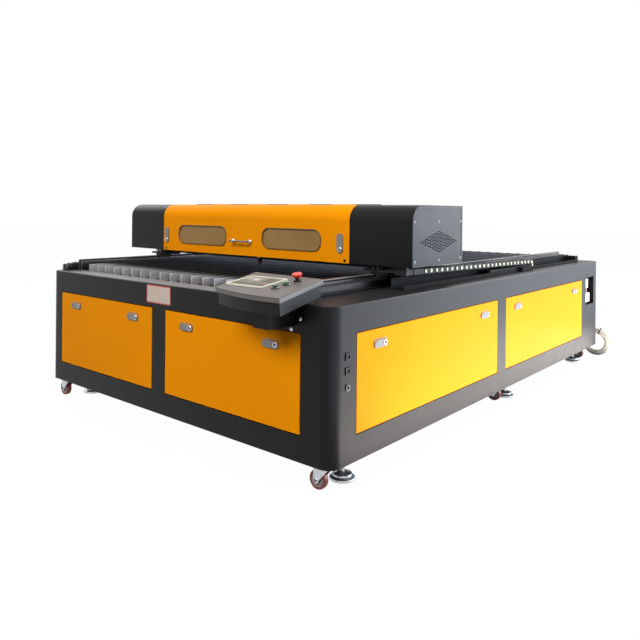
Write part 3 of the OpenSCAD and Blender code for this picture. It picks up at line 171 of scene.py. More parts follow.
def srgb(r, g, b):
    def lin(c):
        c /= 255
        return c / 12.92 if c <= 0.04045 else ((c + 0.055) / 1.055) ** 2.4

    return lin(r), lin(g), lin(b)


def shade(colour, k):
    return tuple(min(1.0, c * k) for c in colour)


def about(colour, vary):
    """The two colours a little below and above the one given from 0 to 255."""
    return shade(srgb(*colour), 1 - vary), shade(srgb(*colour), 1 + vary)


def paint(name, colour, rough, vary=0.05, level=0.5):
    """Powder coat: orange peel, and slow drifts of its colour and gloss."""
    n = Nodes(name)
    peel = n.bump(n.noise(1300, 2), 0.12, 0.0004)
    return n.finish(Base_Color=n.ramp(n.noise(2.2, 4), *about(colour, vary)),
                    Roughness=n.span(n.noise(14, 5), rough - 0.05, rough + 0.07),
                    Normal=n.bump(n.noise(9, 2), 0.05, 0.004, Normal=peel), Specular_IOR_Level=level)


def metal(name, colour, rough, stretch=(1, 1, 1), scale=300, amount=0.12, bump=0.08, vary=0.06, share=1.0):
    """Metal with brushed or cast grain, stretched along its own length."""
    n = Nodes(name)
    streak = n.noise(scale, 5, stretch, 0.6)
    return n.finish(Base_Color=n.ramp(n.noise(scale * 0.2, 3, stretch), *about(colour, vary)),
                    Roughness=n.span(streak, max(0.02, rough - amount), rough + amount),
                    Normal=n.bump(streak, bump, 0.0003), Metallic=share)


def plastic(name, colour, rough, grain=900, bump=0.1, vary=0.04, level=0.5, coat=0.0):
    """Moulded plastic or rubber: a fine grain, and small drifts of its colour and gloss."""
    n = Nodes(name)
    return n.finish(Base_Color=n.ramp(n.noise(30, 3), *about(colour, vary)),
                    Roughness=n.span(n.noise(60, 3), rough - 0.04, rough + 0.05),
                    Normal=n.bump(n.noise(grain, 2), bump, 0.0002), Specular_IOR_Level=level,
                    Coat_Weight=coat, Coat_Roughness=0.08)


# Colours as the eye sees them, from 0 to 255
M = {
    "grey": paint("grey_coat", (15, 14, 15), 0.36, vary=0.06, level=0.15),
    "orange": paint("orange_coat", (232, 141, 6), 0.36, vary=0.03, level=0.02),
    # a paler grey: on the deck's front strip it is a painted sheen, and it is also the colour of the upright
    # stop at the front left
    "ledge": paint("ledge_sheen_and_stop_coat", (104, 102, 100), 0.45, vary=0.05, level=0.2),
    "deck": paint("deck_coat", (30, 28, 28), 0.42, vary=0.06, level=0.08),
    "frame": paint("frame_coat", (34, 34, 36), 0.5, level=0.15),
    "black": paint("black_coat", (24, 24, 25), 0.42, level=0.15),
    "unit": paint("unit_coat", (205, 207, 208), 0.4),
    # the cabinet's grey, made paler: a painted sheen on the console's top plate and its rim
    "console": paint("console_sheen_coat", (92, 88, 85), 0.4, vary=0.05, level=0.25),
    "blackalu": metal("black_anodised", (26, 26, 28), 0.4, (10, 0.6, 10), 90, 0.1, 0.05, share=0.25),
    "steel": metal("ground_steel", (96, 93, 92), 0.24, (12, 0.8, 12), 90, 0.08, 0.05),
    "shaft": metal("turned_steel", (110, 108, 106), 0.22, (40, 1, 1), 120, 0.08, 0.05),
    "chrome": metal("polished_chrome", (226, 228, 232), 0.1, (1, 1, 1), 40, 0.04, 0.02, 0.02),
    "satin": metal("satin_chrome", (122, 120, 116), 0.3, (1, 6, 6), 160, 0.08, 0.04, share=0.4),
    "tray": paint("tray_coat", (16, 16, 17), 0.6, vary=0.12, level=0.06),
    "alu": metal("cast_aluminium", (186, 188, 192), 0.38, (1, 1, 1), 420, 0.1, 0.2),
    "blackplastic": plastic("black_plastic", (22, 22, 23), 0.46, bump=0.2, level=0.2),
    "link": plastic("chain_nylon", (32, 32, 33), 0.5, bump=0.25, level=0.15),
    # pale caps on the chain's pins: painted highlights of the links
    "dot": plastic("link_highlight_cap", (238, 232, 190), 0.4),
    "rubber": plastic("belt_rubber", (18, 18, 18), 0.62, 600, 0.3, level=0.15),
    "cream": plastic("keypad_frame", (208, 204, 184), 0.42),
    "panel": plastic("keypad_foil", (92, 90, 80), 0.36, coat=0.1),
    "screen": plastic("screen_glass", (30, 38, 52), 0.12, coat=0.8, bump=0.01),
    "screen_lit": plastic("screen_glow", (190, 205, 214), 0.2, coat=0.6, bump=0.01),
    "key_green": plastic("key_green", (70, 128, 62), 0.38),
    "key_red": plastic("key_red", (206, 66, 40), 0.38),
    "key_grey": plastic("key_grey", (190, 188, 180), 0.4),
    "red": plastic("red_gloss", (214, 34, 22), 0.24, coat=0.5, bump=0.03),
    "green": plastic("green_gloss", (22, 122, 84), 0.22, coat=0.5, bump=0.03),
    "dark": plastic("dark_gloss", (20, 54, 52), 0.22, coat=0.5, bump=0.03),
    "white": plastic("white_plastic", (232, 232, 228), 0.38),
    "label": plastic("label_film", (190, 172, 158), 0.35),
    "label_red": plastic("label_band", (176, 62, 58), 0.35, coat=0.2),
    "tyre": plastic("red_polyurethane", (112, 28, 22), 0.36, 300, 0.15, 0.08),
    "hub": plastic("wheel_core", (120, 114, 108), 0.4),
    "gasket": plastic("window_gasket", (98, 72, 34), 0.55, 500, 0.2),
    # painted shade: the flat black behind the vent slots
    "shade_black": plastic("vent_shade_black", (9, 9, 9), 0.9, 400, 0.3, level=0.1),
    "dull": metal("dull_zinc", (100, 101, 104), 0.4, (1, 1, 1), 200, 0.08, 0.05),
    "brass": metal("brass", (206, 170, 96), 0.25, (1, 1, 1), 200, 0.08, 0.05),
}


def zinc_material():
    """Galvanised sheet: a small spangle of crystals."""
    n = Nodes("zinc_plate")
    zinc, rough = srgb(196, 199, 204), 0.34
    cells = n.node("ShaderNodeTexVoronoi", Scale=140, Vector=n.coords()).outputs["Color"]
    return n.finish(Base_Color=n.ramp(cells, shade(zinc, 0.86), shade(zinc, 1.08), (0.2, 0.8)),
                    Roughness=n.span(cells, rough - 0.1, rough + 0.12),
                    Normal=n.bump(n.noise(500, 3), 0.08, 0.0003), Metallic=1.0)


def hose_material():
    """Soft white hose, a little translucent."""
    n = Nodes("white_hose")
    wave = n.noise(90)
    return n.finish(Base_Color=n.ramp(wave, srgb(186, 180, 166), srgb(214, 209, 196)), Roughness=0.3,
                    Normal=n.bump(wave, 0.12, 0.0006), Subsurface_Weight=0.08,
                    Subsurface_Radius=(0.004, 0.004, 0.004), Coat_Weight=0.2)


def window_material():
    """Smoked acrylic: mostly the tint, a little see-through, faint polishing haze."""
    n = Nodes("smoked_acrylic")
    return n.finish(Base_Color=n.ramp(n.noise(5, 3), srgb(156, 118, 54), srgb(172, 133, 66)),
                    Roughness=n.span(n.noise(40, 4), 0.06, 0.13), Normal=n.bump(n.noise(12, 2), 0.02, 0.001),
                    IOR=1.49, Transmission_Weight=0.35, Specular_IOR_Level=0.25)


def tube_material():
    n = Nodes("tube_glass")
    return n.finish(Base_Color=n.ramp(n.noise(6, 2), srgb(206, 226, 230), srgb(226, 240, 242)),
                    Roughness=n.span(n.noise(50, 3), 0.03, 0.1), IOR=1.47, Transmission_Weight=0.7)


# the slats darken between these two places, partly sooted and partly in painted shade under the gantry
CLEAN_AND_LIT_TO, SOOTED_AND_SHADED_FROM = 0.12, 0.3       # metres behind the front


def slat_material():
    """Aluminium slats, bright at their front ends, and darker behind them: sooted where the laser works, and
    painted shade under the gantry.
    """
    n = Nodes("slat_aluminium")
    streak = n.noise(60, 5, (14, 1, 14), 0.6)
    place = n.node("ShaderNodeSeparateXYZ", Vector=n.node("ShaderNodeTexCoord").outputs["Object"])
    soot_and_shade = n.node("ShaderNodeMapRange", {"interpolation_type": "SMOOTHSTEP"}, From_Min=FRONT_Y + CLEAN_AND_LIT_TO,
                  From_Max=FRONT_Y + SOOTED_AND_SHADED_FROM, Value=place.outputs["Y"])
    # in a mix of colours, inputs 6 and 7 are the two colours and output 2 is the result
    mix = n.node("ShaderNodeMix", {"data_type": "RGBA"})
    n.tree.links.new(soot_and_shade.outputs["Result"], mix.inputs[0])
    for socket, grey in ((6, 214), (7, 40)):
        tone = srgb(grey, grey + 2, grey + 6)
        n.tree.links.new(n.ramp(streak, shade(tone, 0.75), shade(tone, 1.2)), mix.inputs[socket])
    return n.finish(Base_Color=mix.outputs[2], Roughness=n.span(streak, 0.3, 0.55),
                    Normal=n.bump(streak, 0.1, 0.0003), Metallic=0.85)


M.update(zinc=zinc_material(), slat=slat_material(), hose=hose_material(), window=window_material(),
         tube=tube_material())

# the doors, and whether each is on the right side of the cabinet
ON_SIDE = {"front_left": False, "front_right": False, "side_front": True, "side_rear": True}
CASTERS = range(1, 7)
MATERIAL_NODES = {
    "grey": "cabinet_shell console_arm end_cover_left end_cover_right rear_cover",
    "frame": "base_frame gantry_beam", "deck": "top_deck", "tray": "dust_tray chain_tray",
    "slat": "knife_slats", "blackalu": "y_beams head_carriage laser_head", "steel": "y_rails x_rail",
    "rubber": "y_belts", "black": "y_motor x_belt_drive", "shaft": "drive_shaft front_idlers",
    "link": "cable_chain", "console": "console_box", "cream": "keypad_panel",
    "red": "estop_button power_rocker", "green": "start_button", "dark": "pulse_button",
    "unit": "laser_power_supply controller_unit", "white": "service_sockets", "hose": "water_hose hose_coil",
    "tube": "laser_tube", "alu": "mirror_mounts", "window": "cover_windows",
    "orange": " ".join(["lifting_cover", *("door_" + place for place in ON_SIDE)]),
    "satin": " ".join(["cover_handle cover_latches", *("latches_" + place for place in ON_SIDE)]),
    "zinc": " ".join(["levelling_feet", *(f"caster_fork_{i}" for i in CASTERS)]),
    "tyre": " ".join(f"caster_wheel_{i}" for i in CASTERS),
}
NODE_MATERIAL = {node: key for key, nodes in MATERIAL_NODES.items() for node in nodes.split()}

SMOOTH = math.radians(32)
for node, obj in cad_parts.items():
    obj.data.materials.clear()
    obj.data.materials.append(M[NODE_MATERIAL[node]])
    for face in obj.data.polygons:
        face.use_smooth = True
    obj.data.set_sharp_from_angle(angle=SMOOTH)

# ---------------- mesh helpers


def shift(x, y, z):
    return Matrix.Translation((x, y, z))


def turned(degrees, axis):
    return Matrix.Rotation(math.radians(degrees), 4, axis)


def basis(origin, x_axis, z_axis):
    """A frame of reference with its origin in millimetres."""
    x, z = Vector(x_axis).normalized(), Vector(z_axis).normalized()
    y = z.cross(x)
    m = Matrix((x, y, z)).transposed().to_4x4()
    m.translation = Vector(origin)
    return m


# Frames of reference by where their Z points. Their X runs to the right, or to the back on the two sides
def front_at(x, y, z):
    return basis((x, y, z), (1, 0, 0), (0, -1, 0))


def back_at(x, y, z):
    return basis((x, y, z), (1, 0, 0), (0, 1, 0))


def up_at(x, y, z):
    return basis((x, y, z), (1, 0, 0), (0, 0, 1))


def side_at(s, x, y, z):
    """To the right for 1, and to the left for -1."""
    return basis((x, y, z), (0, 1, 0), (s, 0, 0))


def corners(x, y):
    """The four corners of a rectangle around the origin, from its half sizes."""
    return (-x, -y), (-x, y), (x, -y), (x, y)


def circle(r, count):
    return [(r * math.cos(a), r * math.sin(a)) for a in (2 * math.pi * k / count for k in range(count))]


def rounded(w, h, r, seg=6):
    """Round-cornered rectangle around the origin."""
    out = []
    for sx, sy, start in ((1, 1, 0), (-1, 1, 90), (-1, -1, 180), (1, -1, 270)):
        for k in range(seg + 1):
            a = math.radians(start + 90 * k / seg)
            out.append((sx * (w / 2 - r) + r * math.cos(a), sy * (h / 2 - r) + r * math.sin(a)))
    return out


def bridge(bm, rings, closed=True):
    """Faces from each loop of vertices to the next, and back to the first if closed. A tip is one vertex."""
    faces = []
    for a, b in zip(rings, rings[1:] + rings[:1] if closed else rings[1:]):
        n = max(len(a), len(b))
        for i, j in ((k, (k + 1) % n) for k in range(n)):
            around = dict.fromkeys((a[i % len(a)], a[j % len(a)], b[j % len(b)], b[i % len(b)]))
            if len(around) > 2:
                faces.append(bm.faces.new(tuple(around)))
    return faces


def add_object(name, bm, keys, smooth):
    """Makes an object of the scene from forms in millimetres, shaded smooth up to the given angle."""
    bmesh.ops.recalc_face_normals(bm, faces=bm.faces)
    for v in bm.verts:
        v.co = at(*v.co)
    mesh = bpy.data.meshes.new(name)
    bm.to_mesh(mesh)
    bm.free()
    for key in keys:
        mesh.materials.append(M[key])
    for face in mesh.polygons:
        face.use_smooth = True
    mesh.set_sharp_from_angle(angle=smooth)
    obj = bpy.data.objects.new(name, mesh)
    bpy.context.scene.collection.objects.link(obj)
    return obj


class Piece:
    """One object built from small bevelled forms, in millimetres."""

    def __init__(self, name):
        self.name, self.bm, self.mats = name, bmesh.new(), []

    def keep(self, faces, key, frame_m):
        """Gives the faces their material and moves them to their place."""
        if key not in self.mats:
            self.mats.append(key)
        for f in faces:
            f.material_index = self.mats.index(key)
        if frame_m is not None:
            verts = {v for f in faces for v in f.verts}
            bmesh.ops.transform(self.bm, matrix=frame_m, verts=list(verts))

    def rings(self, loops):
        """Loops of vertices from outlines, each with its height."""
        return [[self.bm.verts.new((x, y, z)) for x, y in outline] for outline, z in loops]

    def round_off(self, faces, edges, width, segments):
        out = bmesh.ops.bevel(self.bm, geom=edges, offset=width, segments=segments, affect="EDGES",
                              profile=0.5)
        return list({*[f for f in faces if f.is_valid], *out["faces"]})

    def prism(self, outline, z0, z1, key, frame_m=None, bevel=0.0, segments=1, both=False):
        """An outline in X and Y, extruded from z0 to z1, with its rim at z1 rounded, or both rims."""
        low, high = self.rings([(outline, z0), (outline, z1)])
        faces = bridge(self.bm, [low, high], closed=False)
        caps = [self.bm.faces.new(low[::-1]), self.bm.faces.new(high)]
        faces += caps
        if bevel > 0:
            edges = [e for cap in (caps if both else caps[1:]) for e in cap.edges]
            faces = self.round_off(faces, edges, bevel, segments)
        self.keep(faces, key, frame_m)

    def box(self, lo, hi, key, bevel=0.6, frame_m=None):
        """A box whose upright and level edges are all rounded."""
        made = bmesh.ops.create_cube(self.bm, size=1)["verts"]
        size = Vector(hi) - Vector(lo)
        middle = (Vector(hi) + Vector(lo)) / 2
        for v in made:
            v.co = Vector((v.co.x * size.x, v.co.y * size.y, v.co.z * size.z)) + middle
        faces = list({f for v in made for f in v.link_faces})
        edges = list({e for f in faces for e in f.edges})
        self.keep(self.round_off(faces, edges, bevel, 2), key, frame_m)

    def lathe(self, profile, key, frame_m=None, seg=24):
        """A profile of (radius, height) turned around Z."""
        rings = self.rings((circle(r, seg) if r > 0 else [(0, 0)], z) for r, z in profile)
        self.keep(bridge(self.bm, rings, closed=False), key, frame_m)

    def screw(self, frame_m, r=4.0, h=1.6, key="zinc"):
        """A pan-head screw with a round recess."""
        s = r * 0.45
        self.lathe([(0, h * 0.45), (s, h * 0.45), (s * 1.02, h), (r * 0.7, h), (r * 0.95, h * 0.65),
                    (r, h * 0.2), (r, 0)], key, frame_m, 18)

    def ring(self, outer, inner, z0, z1, key, frame_m=None):
        """A flat frame between two outlines with the same number of points, with softened rims."""
        soft = min(0.5, abs(z1 - z0) * 0.3)
        k = min(0.3, soft / math.dist(outer[0], inner[0]))

        def between(outline, other):
            return [(a[0] + (b[0] - a[0]) * k, a[1] + (b[1] - a[1]) * k) for a, b in zip(outline, other)]

        loops = [(outer, z0), (outer, z1 - soft), (between(outer, inner), z1), (between(inner, outer), z1),
                 (inner, z1 - soft), (inner, z0)]
        self.keep(bridge(self.bm, self.rings(loops)), key, frame_m)

    def done(self, body, slot):
        """The finished object, riding on its body, if it has one."""
        obj = add_object(self.name, self.bm, self.mats, SMOOTH)
        if body:
            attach(obj, body)
        return obj


# ---------------- water hose

HOSE_R = 7.0
BUNDLE_R = 3 * HOSE_R
BARB_Z, BARB_END = 330, 14              # the barb's height, and its length behind the back sheet
DROP_R, DROP_Z, DROP_STEP = 56, 240, 35     # the bend behind the barb, then the drop in steps
ACROSS = 12.1                           # the sideways step to a turn that lies in a groove of the others
TURN_POINTS = 28
MOVE_OVER = 0.3                         # the share of a turn in which it moves to its own place
TIE_W, TIE_ANGLES = 5, (70, 200)

coil_lo, coil_hi = mm("hose_coil")
coil_mid = (coil_lo + coil_hi) / 2
COIL_R = (coil_hi.x - coil_lo.x) / 2 - BUNDLE_R
hose_x = coil_mid.x - COIL_R


def hose_path():
    """From the barb down behind the cabinet, then seven turns laid around each other."""
    start_y, out_y = BODY_L + BARB_END, coil_mid.y + BUNDLE_R
    drop_y = out_y - DROP_R
    points = [(hose_x, start_y + (drop_y - start_y) * k / 3, BARB_Z) for k in range(4)]
    for a in map(math.radians, range(15, 91, 15)):
        points.append((hose_x, drop_y + DROP_R * math.sin(a), BARB_Z - DROP_R + DROP_R * math.cos(a)))
    points += [(hose_x, out_y - HOSE_R * k / 4, DROP_Z - DROP_STEP * k) for k in range(4)]
    near, far, out = HOSE_R, 2 * HOSE_R, ACROSS
    places = [(0, far), (out, near), (out, -near), (0, -far), (0, 0), (-out, -near), (-out, near)]
    for turn_no, (dr, dy) in enumerate(places):
        was_r, was_y = places[turn_no - 1] if turn_no else (dr, dy)
        for k in range(TURN_POINTS):
            s = min(1.0, k / (TURN_POINTS * MOVE_OVER))
            s = s * s * (3 - 2 * s)
            r = COIL_R + was_r + (dr - was_r) * s
            y = coil_mid.y + was_y + (dy - was_y) * s
            a = math.pi + 2 * math.pi * k / TURN_POINTS
            points.append((coil_mid.x + r * math.cos(a), y, coil_mid.z + r * math.sin(a)))
    return points


def sweep(name, points, radius, key, seg=12, caps=True):
    """A round tube along points in millimetres, as a mesh, with a frame carried along it."""
    bm = bmesh.new()
    pts = [Vector(p) for p in points]
    rings, normal = [], None
    for i, p in enumerate(pts):
        along = (pts[min(i + 1, len(pts) - 1)] - pts[max(i - 1, 0)]).normalized()
        if normal is None:
            normal = along.orthogonal().normalized()
        normal = (normal - along * normal.dot(along)).normalized()
        other = along.cross(normal)
        rings.append([bm.verts.new(p + radius * (x * normal + y * other)) for x, y in circle(1, seg)])
    bridge(bm, rings, closed=False)
    if caps:
        bm.faces.new(rings[0][::-1])
        bm.faces.new(rings[-1])
    return add_object(name, bm, [key], math.radians(50))


route = hose_path()
hose = sweep("water_hose_run", route, HOSE_R, "hose", 14)
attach(hose, "cabinet")
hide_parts("water_hose", "hose_coil")

ties = Piece("hose_ties")
for angle in TIE_ANGLES:
    a = math.radians(angle)
    radial = Vector((math.cos(a), 0, math.sin(a)))
    tie = basis(coil_mid + radial * COIL_R, radial, Vector((0, 1, 0)).cross(radial))
    outer, inner = circle(BUNDLE_R + 2.2, 28), circle(BUNDLE_R + 0.4, 28)
    ties.ring(outer, inner, -TIE_W / 2, TIE_W / 2, "blackplastic", tie)
    ties.box((BUNDLE_R, -4, -4), (BUNDLE_R + 5.5, 4, 4), "blackplastic", 0.8, tie)
ties_obj = ties.done("cabinet", "black_plastic")

# ---------------- cable chain

chain_lo, chain_hi = mm("cable_chain")
CHAIN_X = (chain_lo.x + chain_hi.x) / 2
UPPER, LOWER = 28, 31                   # links in the upper and the lower strand
CHAIN_FRONT, CHAIN_BEND, LOWER_LENGTH = 645.0, 2029.4, 539
UP_FRONT, UP_BEND, LOW_Z = 763.0, 735.0, chain_lo.z + 14
LINK = (CHAIN_BEND - CHAIN_FRONT) / UPPER
REACH = 200.0
OUTER_FACES, INNER_FACES = (26.6, 29.0), (24.0, 26.4)
LINK_PLATE = [(-26, -13), (22, -13), (29, -7), (29, 7), (22, 13), (-26, 13), (-31, 8), (-31, -8)]
BEND_PLATE = [(-12, -10), (11, -13), (13, -8), (13, 8), (11, 13), (-12, 10)]
BEND_ANGLES = (-62, -21, 21, 62)


def share(obj, y, w):
    """Bakes obj's placement into its mesh. From y and the share w it works out where a blend towards the
    gantry would start, which nothing uses.
    """
    w = min(1.0, max(0.0, w))
    # the blend rises as a smooth step, which has the value w at this part of its length
    t = 0.5 - math.sin(math.asin(1 - 2 * w) / 3)
    start = at(0, y, 0) - Vector((0, t * REACH, 0))
    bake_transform(obj)


def link(name, y, z, tilt, is_outer, w, pins):
    """One chain link: two side plates with pale caps on their pins, which are painted highlights of the
    links, two cross bars and the cables' dark core.
    """
    p = Piece(name)
    frame_m = shift(CHAIN_X, y, z) @ Matrix.Rotation(tilt, 4, "X")
    inner, outer = OUTER_FACES if is_outer else INNER_FACES
    for s in (-1, 1):
        side_m = frame_m @ side_at(1, 0, 0, 0)
        p.prism(LINK_PLATE, *sorted((s * inner, s * outer)), "link", side_m, 0.7, both=True)
        for pin_y in pins:
            # a pale cap on each pin: a painted highlight
            cap = frame_m @ side_at(s, s * outer, pin_y, 0)
            p.lathe([(0, 1.6), (7.0, 1.6), (8.6, 0.8), (9.0, -0.6)], "dot", cap, 16)
        web = frame_m @ side_at(s, s * outer, 0, 0)
        p.prism(rounded(24, 13, 3, 2), -0.1, 0.5, "link", web, 0.3)
    for z0, z1 in ((10.6, 13.6), (-13.6, -10.6)):
        p.box((-inner, -9, z0), (inner, 9, z1), "link", 0.6, frame_m)
    p.box((-inner + 0.6, -30, -9.8), (inner - 0.6, 34, 9.8), "rubber", 0.8, frame_m)
    obj = p.done(None, "black_plastic")
    share(obj, y, w)
    return obj


slope = math.atan2(UP_BEND - UP_FRONT, CHAIN_BEND - CHAIN_FRONT)
links = []
for k in range(UPPER):
    y = CHAIN_FRONT + (k + 0.5) * LINK
    f = (y - CHAIN_FRONT) / (CHAIN_BEND - CHAIN_FRONT)
    z = UP_FRONT + (UP_BEND - UP_FRONT) * f
    pins = (-LINK / 2, LINK / 2) if k % 2 and k > 2 else ()
    links.append(link(f"chain_upper_{k + 1:02d}", y, z, slope, k % 2, 1.0 - 0.5 * f, pins))
for k in range(LOWER):
    f = (k + 0.5) / LOWER
    y = CHAIN_BEND - LOWER_LENGTH + f * LOWER_LENGTH
    links.append(link(f"chain_lower_{k + 1:02d}", y, LOW_Z, 0, k % 2, 0.5 * f, ()))

p = Piece("chain_bend")
inner, outer = OUTER_FACES
for degrees in BEND_ANGLES:
    turn_m = shift(CHAIN_X, CHAIN_BEND, (UP_BEND + LOW_Z) / 2) @ turned(degrees, "X")
    for s in (-1, 1):
        plate_m = turn_m @ side_at(1, 0, 15, 0)
        p.prism(BEND_PLATE, *sorted((s * inner, s * outer)), "link", plate_m, 0.6, both=True)
        # a pale cap on each plate's pin: a painted highlight
        cap = turn_m @ side_at(s, s * outer, 15, 0)
        p.lathe([(0, 0.9), (6.4, 0.9), (7.4, 0.3), (7.6, -0.6)], "dot", cap, 16)
    p.box((-26.4, 3, -9), (26.4, 26, 9), "rubber", 1.0, turn_m)
bend_obj = p.done(None, "black_plastic")
share(bend_obj, CHAIN_BEND, 0.5)
for obj in [*links, bend_obj]:
    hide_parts("cable_chain")

# ---------------- gantry

gantry_lo, gantry_hi = mm("end_cover_right")
RIGHT, LEFT = gantry_hi.x, mm("end_cover_left")[0].x
ENDS = (("right", RIGHT, 1), ("left", LEFT, -1))
COVER_R = 75                            # rounding of the covers at the top of their front

for end, x, s in ENDS:
    p = Piece("screws_end_" + end)
    for y in (gantry_lo.y + 20, (gantry_lo.y + gantry_hi.y) / 2, gantry_hi.y - 20):
        for z in (gantry_lo.z + 24, gantry_hi.z - 74):
            p.lathe([(0, 1.3), (1.8, 1.3), (2.2, 2.2), (4.2, 2.1), (6.2, 1.3), (7.0, 0.2), (7.1, 0)], "dull",
                    side_at(s, x, y, z), 20)
    p.done("gantry", "galvanised")


def cover_profile(inset, steps=8):
    """The covers' outline from the side, drawn in by inset: distance behind the front, and height."""
    h, d = gantry_hi.z - gantry_lo.z, gantry_hi.y - gantry_lo.y
    arc = [(COVER_R - (COVER_R - inset) * math.cos(a), h - COVER_R + (COVER_R - inset) * math.sin(a))
           for a in (math.pi / 2 * k / steps for k in range(steps + 1))]
    return [(inset, inset), *arc, (d - inset, h - inset), (d - inset, inset)]


# the end covers' folded rims
for end, x, s in ENDS:
    p = Piece("rim_end_" + end)
    m = side_at(s, x, gantry_lo.y, gantry_lo.z) @ Matrix.Scale(s, 4, (0, 1, 0))
    p.ring(cover_profile(0.4), cover_profile(15), -0.3, 0.9, "grey", m)
    p.done("gantry", "grey_paint")

# a black block behind the vent slots, standing in for the shade inside the cover: painted shade
p = Piece("vent_shade_backing")
p.box((RIGHT - 16, gantry_lo.y + 48, gantry_lo.z + 44), (RIGHT - 6, gantry_lo.y + 408, gantry_lo.z + 172),
      "shade_black", 1.5)
p.done("gantry", "black_metal")

# windows: a rubber profile around each pane
win_lo, win_hi = mm("cover_windows")
cover_lo, cover_hi = mm("lifting_cover")
PANE_H, PANE_R, PANE_LAP = 105, 45, 8   # the panes reach behind the sheet by their lap
LEFT_PANE_W, RIGHT_PANE_W = 413.0, 396.0
p = Piece("window_gaskets")
for x, w in ((win_lo.x + PANE_LAP, LEFT_PANE_W), (win_hi.x - PANE_LAP - RIGHT_PANE_W, RIGHT_PANE_W)):
    m = front_at(x + w / 2, cover_lo.y, (win_lo.z + win_hi.z) / 2)
    outer, inner = rounded(w + 4, PANE_H + 4, PANE_R + 2, 10), rounded(w - 5, PANE_H - 5, PANE_R - 2.5, 10)
    p.ring(outer, inner, -1.6, 1.0, "gasket", m)
p.done("lifting_cover", "belt_rubber")

# the hinge's screws, and a rubber buffer in each lower corner of the cover
HINGE_SCREWS, HINGE_SCREW_Y = 27, gantry_lo.y + 279
p = Piece("hinge_screws")
for k in range(HINGE_SCREWS):
    x = cover_lo.x + 30 + k * (cover_hi.x - cover_lo.x - 60) / (HINGE_SCREWS - 1)
    m = up_at(x, HINGE_SCREW_Y, gantry_hi.z)
    p.lathe([(0, 0.5), (1.6, 0.5), (1.9, 1.4), (3.6, 1.0), (4.3, 0)], "zinc", m, 14)
p.done("gantry", "galvanised")
p = Piece("cover_buffers")
for x in (cover_lo.x + 26, cover_hi.x - 26):
    m = front_at(x, gantry_lo.y, gantry_lo.z + 12)
    p.lathe([(0, 3.4), (5, 3.4), (6.5, 2.4), (7, 0)], "rubber", m, 18)
p.done("lifting_cover", "belt_rubber")

# handle bosses
handle_lo, handle_hi = mm("cover_handle")
p = Piece("handle_bosses")
for x in (handle_lo.x + 10, handle_hi.x - 10):
    m = front_at(x, cover_lo.y, (handle_lo.z + handle_hi.z) / 2)
    p.lathe([(9.5, 2.6), (10.6, 3.4), (11.6, 2.4), (12.4, 0.6), (12.5, 0)], "chrome", m, 24)
    p.lathe([(5.0, 8), (6.4, 5.4), (8.6, 3.6), (10.2, 3.0)], "chrome", m, 24)
p.done("lifting_cover", "chrome")

# under the covers: the carriages' screws, tube fittings, mirror knobs, the head's nozzle and screws
rail_lo, rail_hi = mm("y_rails")
RAIL_W, CARRIAGE_H = 20, 20
RAILS = (rail_hi.x - RAIL_W / 2, rail_lo.x + RAIL_W / 2)
p = Piece("carriage_screws")
for rail_x in RAILS:
    for y in (52, 84, 352, 384):
        for dx in (-14, 14):
            m = up_at(rail_x + dx, gantry_lo.y + y, rail_hi.z + CARRIAGE_H)
            p.lathe([(0, 2.4), (3, 2.4), (3.4, 5.8), (5.6, 6.2), (6.2, 5.6), (6.2, 0)], "steel", m, 16)
p.done("gantry", "steel")

tube_lo, tube_hi = mm("laser_tube")
tube_mid = (tube_lo + tube_hi) / 2
TUBE_L = tube_hi.x - tube_lo.x
p = Piece("tube_fittings")
for s in (-1, 1):
    end_x = tube_mid.x + s * (TUBE_L / 2 - 40)
    m = side_at(s, end_x, tube_mid.y, tube_mid.z)
    p.lathe([(40.6, -34), (41.4, -33), (41.4, -2), (40, 1), (15, 1.4), (14.6, 4), (14.6, 12), (16.4, 13),
             (16.4, 26), (14.4, 27)], "alu", m, 36)
    m = up_at(end_x - s * 60, tube_mid.y, tube_mid.z + 39)
    p.lathe([(0, 16), (5, 16), (6, 14), (5, 12), (6, 10), (5, 8), (6, 6), (8, 3), (9, -3)], "white", m, 16)
p.lathe([(9, 60), (9.6, 61), (9.6, TUBE_L - 190), (9, TUBE_L - 189)], "brass",
        side_at(1, tube_lo.x + 60, tube_mid.y, tube_mid.z), 20)
p.done("gantry", "steel")

mirror_lo, mirror_hi = mm("mirror_mounts")
p = Piece("mirror_knobs")
for y, degrees in ((gantry_lo.y + 355, -135), (gantry_lo.y + 50, -45)):
    mount = shift((mirror_lo.x + mirror_hi.x) / 2, y, tube_mid.z) @ turned(degrees, "Z")
    for dx, dz in ((-18, -21), (18, -21), (-18, 21)):
        p.lathe([(2.2, 0), (2.2, -10), (5, -10.6), (5.4, -12), (5.4, -17), (4.8, -18), (0, -18)], "brass",
                mount @ back_at(dx, -4, dz), 18)
p.done("gantry", "steel")

